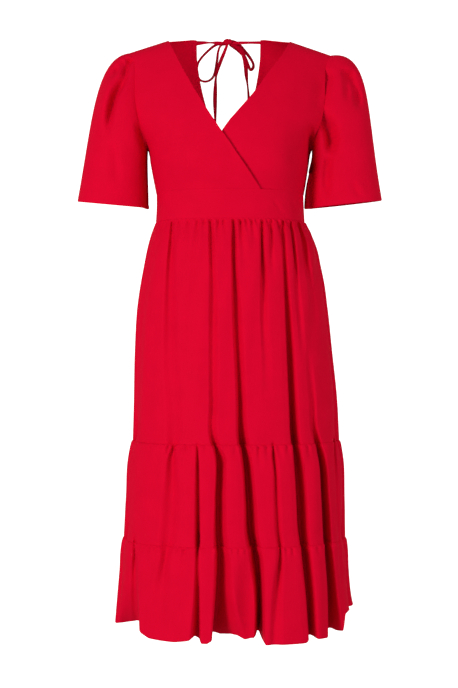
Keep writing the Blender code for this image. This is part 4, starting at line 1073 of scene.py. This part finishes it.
def knot(material):
    """The bow's knot: one turn of the tape, pulled tight over the others."""
    low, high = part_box("tie_knot")
    middle, half = (np.array(low) + high) / 2, (np.array(high) - low) / 2
    turns, ring = 34, 18
    round_it = np.linspace(0, 2 * math.pi, turns, endpoint=False)[:, None]
    across = np.linspace(-math.pi / 2, math.pi / 2, ring)[None]
    swell = np.cos(across) ** KNOT_SHAPE * (1 + KNOT_LUMPS * np.cos(3 * round_it + 2 * across))
    groove = np.sin(across - KNOT_SLANT * np.sin(round_it)) / KNOT_GROOVE_WIDTH
    dent = 1 - KNOT_GROOVE * np.exp(-(groove**2)) * (np.abs(across) < 1)
    x = half[0] * np.sin(across) * (1 - KNOT_FLARE + KNOT_FLARE * np.cos(2 * round_it))
    y = half[1] * np.cos(round_it) * swell * dent
    z = half[2] * np.sin(round_it) * swell * dent
    grid = np.stack(np.broadcast_arrays(x, y, z), axis=-1) + middle
    index = np.arange(turns * ring).reshape(turns, ring)
    after = np.roll(index, -1, axis=0)
    quads = np.stack([index[:, :-1], after[:, :-1], after[:, 1:], index[:, 1:]], axis=-1).reshape(-1, 4)
    ends = [index[:, 0].tolist(), index[::-1, -1].tolist()]
    return piece("bow_knot", grid.reshape(-1, 3).tolist(), quads[:, ::-1].tolist() + ends, material)


# ---- materials
class Nodes:
    """Short calls for building a node tree."""

    def __init__(self, name):
        self.material = bpy.data.materials.new(name)
        self.material.use_nodes = True
        self.tree = self.material.node_tree
        self.shader = self.tree.nodes["Principled BSDF"]

    def add(self, kind, **settings):
        node = self.tree.nodes.new(kind)
        for setting, value in settings.items():
            setattr(node, setting, value)
        return node

    def put(self, node, sockets):
        """Give sockets their values, or link them to the outputs that are given for them."""
        for socket, value in sockets.items():
            if isinstance(value, bpy.types.NodeSocket):
                self.tree.links.new(value, node.inputs[socket])
            else:
                node.inputs[socket].default_value = value

    def math(self, operation, *values):
        node = self.add("ShaderNodeMath", operation=operation)
        self.put(node, dict(enumerate(values)))
        return node.outputs[0]

    def split(self, vector):
        node = self.add("ShaderNodeSeparateXYZ")
        self.put(node, {0: vector})
        return node.outputs

    def noise(self, vector, scale, detail):
        node = self.add("ShaderNodeTexNoise")
        self.put(node, {"Vector": vector, "Scale": scale, "Detail": detail})
        return node.outputs["Fac"]

    def blend(self, factor, low, high):
        """A colour from low at 0 to high at 1."""
        node = self.add("ShaderNodeMix", data_type="RGBA")
        self.put(node, {"Factor": factor, "A": (*low, 1), "B": (*high, 1)})
        return node.outputs["Result"]


STITCH_LONG = 0.0028  # from one stitch to the next
STITCH_WIDE = 0.0006
STITCH_SHARE = 0.8  # of its length that shows
STITCH_STAND = 1.5  # its height, where the pebbles have 1
WEAVE_STAND = 0.45  # and the threads of the weave


def stitches(n):
    """1 on the thread of the stitch lines that run along the hems and turned edges, 0 beside it."""
    places = n.split(n.add("ShaderNodeUVMap", uv_map="stitch").outputs["UV"])
    beside = n.math("ABSOLUTE", n.math("SUBTRACT", places["Y"], HEM_STITCH))
    on_line = n.math("LESS_THAN", beside, STITCH_WIDE / 2)
    along = n.math("FRACT", n.math("DIVIDE", places["X"], STITCH_LONG))
    return n.math("MULTIPLY", on_line, n.math("LESS_THAN", along, STITCH_SHARE))


THREAD = 0.00055  # from one thread to the next
PEBBLES = 1100  # in a metre
CLOUDS = 30
CLOUD_TONE = 0.55  # how much of the colour's change follows the clouds, and not the pebbles
ROUGHNESS_RANGE = 0.16
RED_DEEP = (0.63, 0.0003, 0.021)
RED_BRIGHT = (0.76, 0.0006, 0.029)


def crepe(name, roughness=0.74, painted_shade=1.0):
    """Matte crepe: a fine uneven weave of crimped threads, with a soft sheen. A factor below 1 darkens its
    whole colour, as painted shade.
    """
    n = Nodes(name)
    places = n.add("ShaderNodeTexCoord")
    threads = n.split(places.outputs["UV"])
    pitch = 2 * math.pi / THREAD
    warp = n.math("SINE", n.math("MULTIPLY", threads["X"], pitch))
    weft = n.math("SINE", n.math("MULTIPLY", threads["Y"], pitch))
    weave = n.math("MULTIPLY_ADD", n.math("MULTIPLY", warp, weft), 0.5, 0.5)
    pebble = n.noise(places.outputs["Object"], PEBBLES, 3)
    cloud = n.noise(places.outputs["Object"], CLOUDS, 2)
    height = n.math("ADD", n.math("MULTIPLY", weave, WEAVE_STAND), pebble)
    height = n.math("ADD", height, n.math("MULTIPLY", stitches(n), STITCH_STAND))
    tone = n.math("ADD", n.math("MULTIPLY", pebble, 1 - CLOUD_TONE), n.math("MULTIPLY", cloud, CLOUD_TONE))
    # painted shade: a factor below 1 darkens both reds
    deep, bright = (tuple(painted_shade * part for part in red) for red in (RED_DEEP, RED_BRIGHT))
    bump = n.add("ShaderNodeBump")
    n.put(bump, {"Strength": 0.35, "Distance": 0.0002, "Height": height})
    n.put(n.shader, {
        "Base Color": n.blend(tone, deep, bright),
        "Normal": bump.outputs["Normal"],
        "Roughness": n.math("MULTIPLY_ADD", pebble, ROUGHNESS_RANGE, roughness - ROUGHNESS_RANGE / 2),
        "Specular IOR Level": 0.03,
        "Sheen Weight": 0.08,
        "Sheen Roughness": 0.45,
        "Sheen Tint": (1.0, 0.0, 0.04, 1),
    })
    return n.material


def glowing(name, colour):
    """A matt material that glows white."""
    n = Nodes(name)
    n.put(n.shader, {
        "Base Color": (*colour, 1),
        "Roughness": 0.9,
        "Emission Color": (1, 1, 1, 1),
        "Emission Strength": 1.0,
    })
    return n.material


# ---- camera, lights and floor
AIM = Vector((0, 0, -0.56))
NECK = Vector((-0.13, 0.10, -0.03))  # a small lamp inside lights the inside of the back there
FLOOR_Z = -1.46  # where the wearer would stand
STAGE_RADIUS = 7.0
STAGE_SIDES = 96
WALL_HEIGHT = 8.0
EYE = (-0.002, -2.8, -0.590)
LENS = 73.26


def camera():
    """The camera at the photo's viewing angle."""
    data = bpy.data.cameras.new("camera")
    data.lens = LENS
    data.sensor_width = 36
    data.clip_end = 40
    obj = placed("camera", data)
    obj.location = EYE
    obj.rotation_euler = (math.radians(90), 0, 0)
    bpy.context.scene.camera = obj


def lamp(name, place, size, watts, aim=AIM):
    """A round soft lamp that the camera doesn't see."""
    data = bpy.data.lights.new(name, "AREA")
    data.shape = "DISK"
    data.size = size
    data.energy = watts
    obj = placed(name, data)
    obj.location = place
    obj.rotation_euler = (aim - Vector(place)).to_track_quat("-Z", "Y").to_euler()
    obj.visible_camera = False


def stage():
    """A pale floor and a white wall all round, which is only there to be seen."""
    turns = [2 * math.pi * i / STAGE_SIDES for i in range(STAGE_SIDES)]
    low, high = (
        [(STAGE_RADIUS * math.cos(turn), STAGE_RADIUS * math.sin(turn), z) for turn in turns]
        for z in (FLOOR_Z, FLOOR_Z + WALL_HEIGHT)
    )
    following = [*range(1, STAGE_SIDES), 0]
    walls = [(i, after, after + STAGE_SIDES, i + STAGE_SIDES) for i, after in enumerate(following)]
    ground = [tuple(range(STAGE_SIDES))]
    for name, points, faces in (("floor", low, ground), ("backdrop", low + high, walls)):
        obj = piece(name, points, faces, glowing(name, (0.92, 0.92, 0.92)), smooth_shaded=False)
        obj.visible_diffuse = False
        obj.visible_glossy = False
        obj.visible_shadow = False


def light():
    """A pale sky, a lamp from the wearer's right, a weaker one from the left, and one for the neck."""
    world = bpy.data.worlds.new("studio")
    world.use_nodes = True
    sky = world.node_tree.nodes["Background"]
    sky.inputs["Color"].default_value = (1, 1, 1, 1)
    sky.inputs["Strength"].default_value = 0.42
    bpy.context.scene.world = world
    bpy.context.scene.view_settings.view_transform = "Standard"
    lamp("key", (-2.0, -2.5, -0.4), size=1.4, watts=60)
    lamp("fill", (2.5, -2.1, -0.4), size=1.8, watts=27)
    lamp("neck", (-0.02, -0.05, -0.09), size=0.08, watts=0.075, aim=NECK)


# ---- the dress
def build_ties():
    """The bow: six cords and their knot."""
    # the tapes and the knot get a darker copy of the red: painted shade for the thin bow, which lies in
    # shadow
    tape = crepe("tie_crepe_painted_shade", roughness=0.7, painted_shade=0.74)
    for name, route in TIES.items():
        obj, path, length = tie(name, route, tape)
        settle(obj, name)
    settle(knot(tape), "tie_knot")


def front_piece(side):
    """One wrap front: its points, texture coordinates, wall and stitch coordinates."""
    fall = bodice_falls()
    half_width = torso_rows(fall)[0, :, 0]
    arm = armhole_angle(fall)
    upper, under = smooth(WRAP_EDGES, fall).T
    if side < 0:
        start, end = arm, angle_at(upper, half_width)
    else:
        start, end = angle_at(under, half_width), math.pi - arm
    points = torso(fall, columns_between(start, end, BODICE_COLUMNS, width=0.3), -1)
    low_down = fall[:, None]
    if side > 0:
        points[..., 1] += LAYER * ramp(low_down, *INSET_FALLS) * (1 - ramp(points[..., 0], *INSET_ENDS))
    along, seam, edge, down, up = ways(points, side < 0)
    dent = tucked(seam) + tucked(down) + tucked(up)
    dent += stitched(edge, EDGE_WIDTH)
    calm = ramp(down, 0, SEAM_CALM) * ramp(edge, 0, SIDE_CALM)
    dent += calm * sway(along, down, FRONT_SEED + side, reach=0.16, height=0.0005, tilt=0.8)
    if side < 0:
        dent -= WRAP_ROLL * np.exp(-((edge / WRAP_ROLL_WIDTH) ** 2)) * ramp(low_down, *ROLL_FALLS)
    else:
        hollow = WRAP_HOLLOW * np.exp(-(((points[..., 0] - upper[:, None]) / WRAP_HOLLOW_WIDTH) ** 2))
        dent += hollow * ramp(low_down, *HOLLOW_FALLS) * ramp(up, 0, CREASE_CLEAR)
    points = dented(points, dent, -1)
    away = ramp(np.minimum(down, up), 0, CREASE_CLEAR)
    press(points, BODICE_CREASES + ARMHOLE_CREASES[side][0], -1, away)
    wall = WALL + (EDGE_WALL - WALL) * turned(edge, EDGE_WIDTH)
    return points, flat(points), np.broadcast_to(wall, along.shape), pairs(down, edge)


def back_pieces():
    """The back's two halves, which meet below the keyhole."""
    fall = bodice_falls()
    half_width = torso_rows(fall)[0, :, 0]
    arm, opening = armhole_angle(fall), keyhole_x(fall)
    starts = arm, angle_at(KEYHOLE_MIDDLE + opening, half_width)
    ends = angle_at(KEYHOLE_MIDDLE - opening, half_width), math.pi - arm
    parts = []
    for i, (start, end) in enumerate(zip(starts, ends)):
        points = torso(fall, columns_between(start, end, BACK_COLUMNS, width=0.2), 1)
        along, seam, edge, down, up = ways(points, i == 0)
        is_open = ramp(opening[:, None], 0, OPENING_WIDE)
        dent = tucked(seam) + tucked(down) + tucked(up)
        dent += is_open * stitched(edge, EDGE_WIDTH)
        calm = ramp(down, 0, SEAM_CALM) * ramp(edge, 0, KEYHOLE_CALM)
        dent += calm * sway(along, down, BACK_SEED + i, reach=0.16, height=0.001, tilt=0.8)
        points = dented(points, dent, 1)
        places = flat(points)
        places[..., 0] += i * 0.5  # beside the other half's
        press(points, ARMHOLE_CREASES[-1 if i == 0 else 1][1], 1, ramp(up, 0, CREASE_CLEAR))
        wall = WALL + (EDGE_WALL - WALL) * (is_open * turned(edge, EDGE_WIDTH))
        stitch = pairs(down, edge + FAR * (1 - is_open))
        parts.append((points, places, np.broadcast_to(wall, along.shape), stitch))
    return parts


def waistband(side):
    """One half of the waistband."""
    drop = spread(Z_BAND - Z_WAIST, BAND_STEP)
    z = Z_BAND - drop
    angle = math.pi * spread(BAND_LENGTH, BAND_LENGTH / BAND_COLUMNS)[None] / BAND_LENGTH
    x, y = ring_at(WAISTBAND, z, angle, side)
    points = np.stack([x, y, np.broadcast_to(z[:, None], x.shape)], axis=-1)
    along, right_end, left_end, down, up = ways(points)
    ends = np.minimum(right_end, left_end)
    calm = ramp(ends, 0, SIDE_CALM)
    dent = tucked(down) + tucked(up) + tucked(ends)
    dent += calm * sway(along, down, BAND_SEED + side, reach=0.09, height=0.0004, tilt=0.7)
    points = dented(points, dent, side)
    if side < 0:
        press(points, BAND_CREASES, side, ramp(np.minimum(down, up), 0, BAND_CLEAR))
    return points, flat(points), np.full(x.shape, WALL), np.full(points[..., :2].shape, FAR)


def sleeve(made):
    """A sleeve: cubic curves from the armhole to the hem's oval, all round."""
    turns = arm_turns()
    turn = np.concatenate([turns, 2 * math.pi - turns[-2:0:-1]])[None, :, None]
    fall = UNDERARM * (1 - np.cos(turn[0, :, 0])) / 2
    arm = armhole_angle(fall)
    start = np.zeros((len(fall), 3))
    for face in (-1, 1):
        point = torso(fall, (arm if made.side < 0 else math.pi - arm)[:, None], face)[:, 0]
        here = (np.sin(turn[0, :, 0]) >= 0) == (face < 0)
        start[here] = point[here]
    start[[0, len(turns) - 1], 1] = 0
    start = start[None] - (made.side * SLEEVE_LAP, 0, 0)
    middle, half = (made.hem_out + made.hem_in) / 2, (made.hem_out - made.hem_in) / 2
    top = (1 + np.cos(turn)) / 2
    out, fore = half * np.cos(turn), -SLEEVE_HEM_DEPTH * np.sin(turn)
    cosine, sine = math.cos(made.hem_turn), math.sin(made.hem_turn)
    end = np.concatenate([
        made.side * (middle + out * cosine + fore * sine),
        fore * cosine - out * sine,
        SLEEVE_HEM_Z + SLEEVE_HEM_RISE * np.cos(turn) - SLEEVE_HEM_DIP * np.sin(turn),
    ], axis=-1)
    leave = np.concatenate([
        made.side * (made.puff_out * top + ARM_START),
        -CAP_PUFF * np.sin(turn),
        made.puff_up * top - UNDERARM_DROP * (1 - top),
    ], axis=-1)
    pull = SLEEVE_INNER_PULL * (1 - top) + SLEEVE_OUTER_PULL * top
    arrive = np.concatenate([-made.side * SLEEVE_LEAN * top, 0 * top, pull], axis=-1)
    even = np.linspace(0, 1, MEASURE_STEPS)
    shares = spread(SLEEVE_LENGTH, SLEEVE_STEP) / SLEEVE_LENGTH
    shares = np.interp(shares, even, even**SLEEVE_SPACING)[:, None, None]
    points = (
        (1 - shares) ** 3 * start
        + 3 * (1 - shares) ** 2 * shares * (start + leave)
        + 3 * (1 - shares) * shares**2 * (end + arrive)
        + shares**3 * end
    )
    down = run(points, 0)
    edge = down[-1:] - down
    dent = tucked(down) + stitched(edge, HEM_STITCH) + rolled(edge)
    wall = WALL + (HEM_WALL - WALL) * turned(edge, HEM_HEIGHT, step=0.0006)
    points = dented(points, dent, made.side, closed=True)
    fore = np.sin(turn[..., 0])
    for creases, face in zip(SLEEVE_CREASES[made.side], (-1, 1)):
        press(points, creases, face, ramp(-face * fore, 0, CREASE_TURN) * np.ones_like(down))
    return points, flat(points), wall, pairs(run(points, 1), edge)


TIERS = (
    ("skirt_upper_", UPPER_TIER, WAIST_GATHERS),
    ("skirt_middle_", MIDDLE_TIER, MIDDLE_GATHERS),
    ("skirt_lower_", LOWER_TIER, LOWER_GATHERS),
)


def build_dress():
    """All cloth pieces, by the names of the nodes that they replace."""
    cloth = crepe("red_crepe")
    pieces = {}

    def add(name, parts, side, closed=False):
        pieces[name] = shell("cloth_" + name, parts, side, cloth, closed)
        settle(pieces[name], name)

    add("bodice_front_right", [front_piece(-1)], -1)
    add("bodice_front_left", [front_piece(1)], -1)
    add("bodice_back", back_pieces(), 1)
    for half, side, folds in (("front", -1, FRONT_FOLDS), ("back", 1, BACK_FOLDS)):
        add("waistband_" + half, [waistband(side)], side)
        for i, (name, table, drawn) in enumerate(TIERS):
            seed = TIER_SEED + 10 * side + i
            half_width = table[-1, 1:3].mean()
            if side < 0:
                gathers = drawn + small_gathers(seed, half_width, count=52, depth=0.0018, reach=0.012)
            else:
                gathers = small_gathers(seed, half_width, count=50, depth=0.0014, reach=0.022)
            low, high = table[0, 0], table[-1, 0]
            near = tuple(fold for fold in folds if fold.rows[0][0] > low and fold.rows[-1][0] < high)
            made = Tier(table, near, gathers, seed, table is LOWER_TIER)
            add(name + half, [tier(made, side)], side)
    for name, made in SLEEVES.items():
        add(name, [sleeve(made)], made.side, closed=True)
    return pieces


class Cut(NamedTuple):
    """A piece as it was cut: its flat width and length, and its area where it isn't a rectangle."""

    width: float
    length: float
    area: float | None
    held: str
    hangs_from: tuple = ()


camera()
light()
stage()
build_ties()
dress = build_dress()
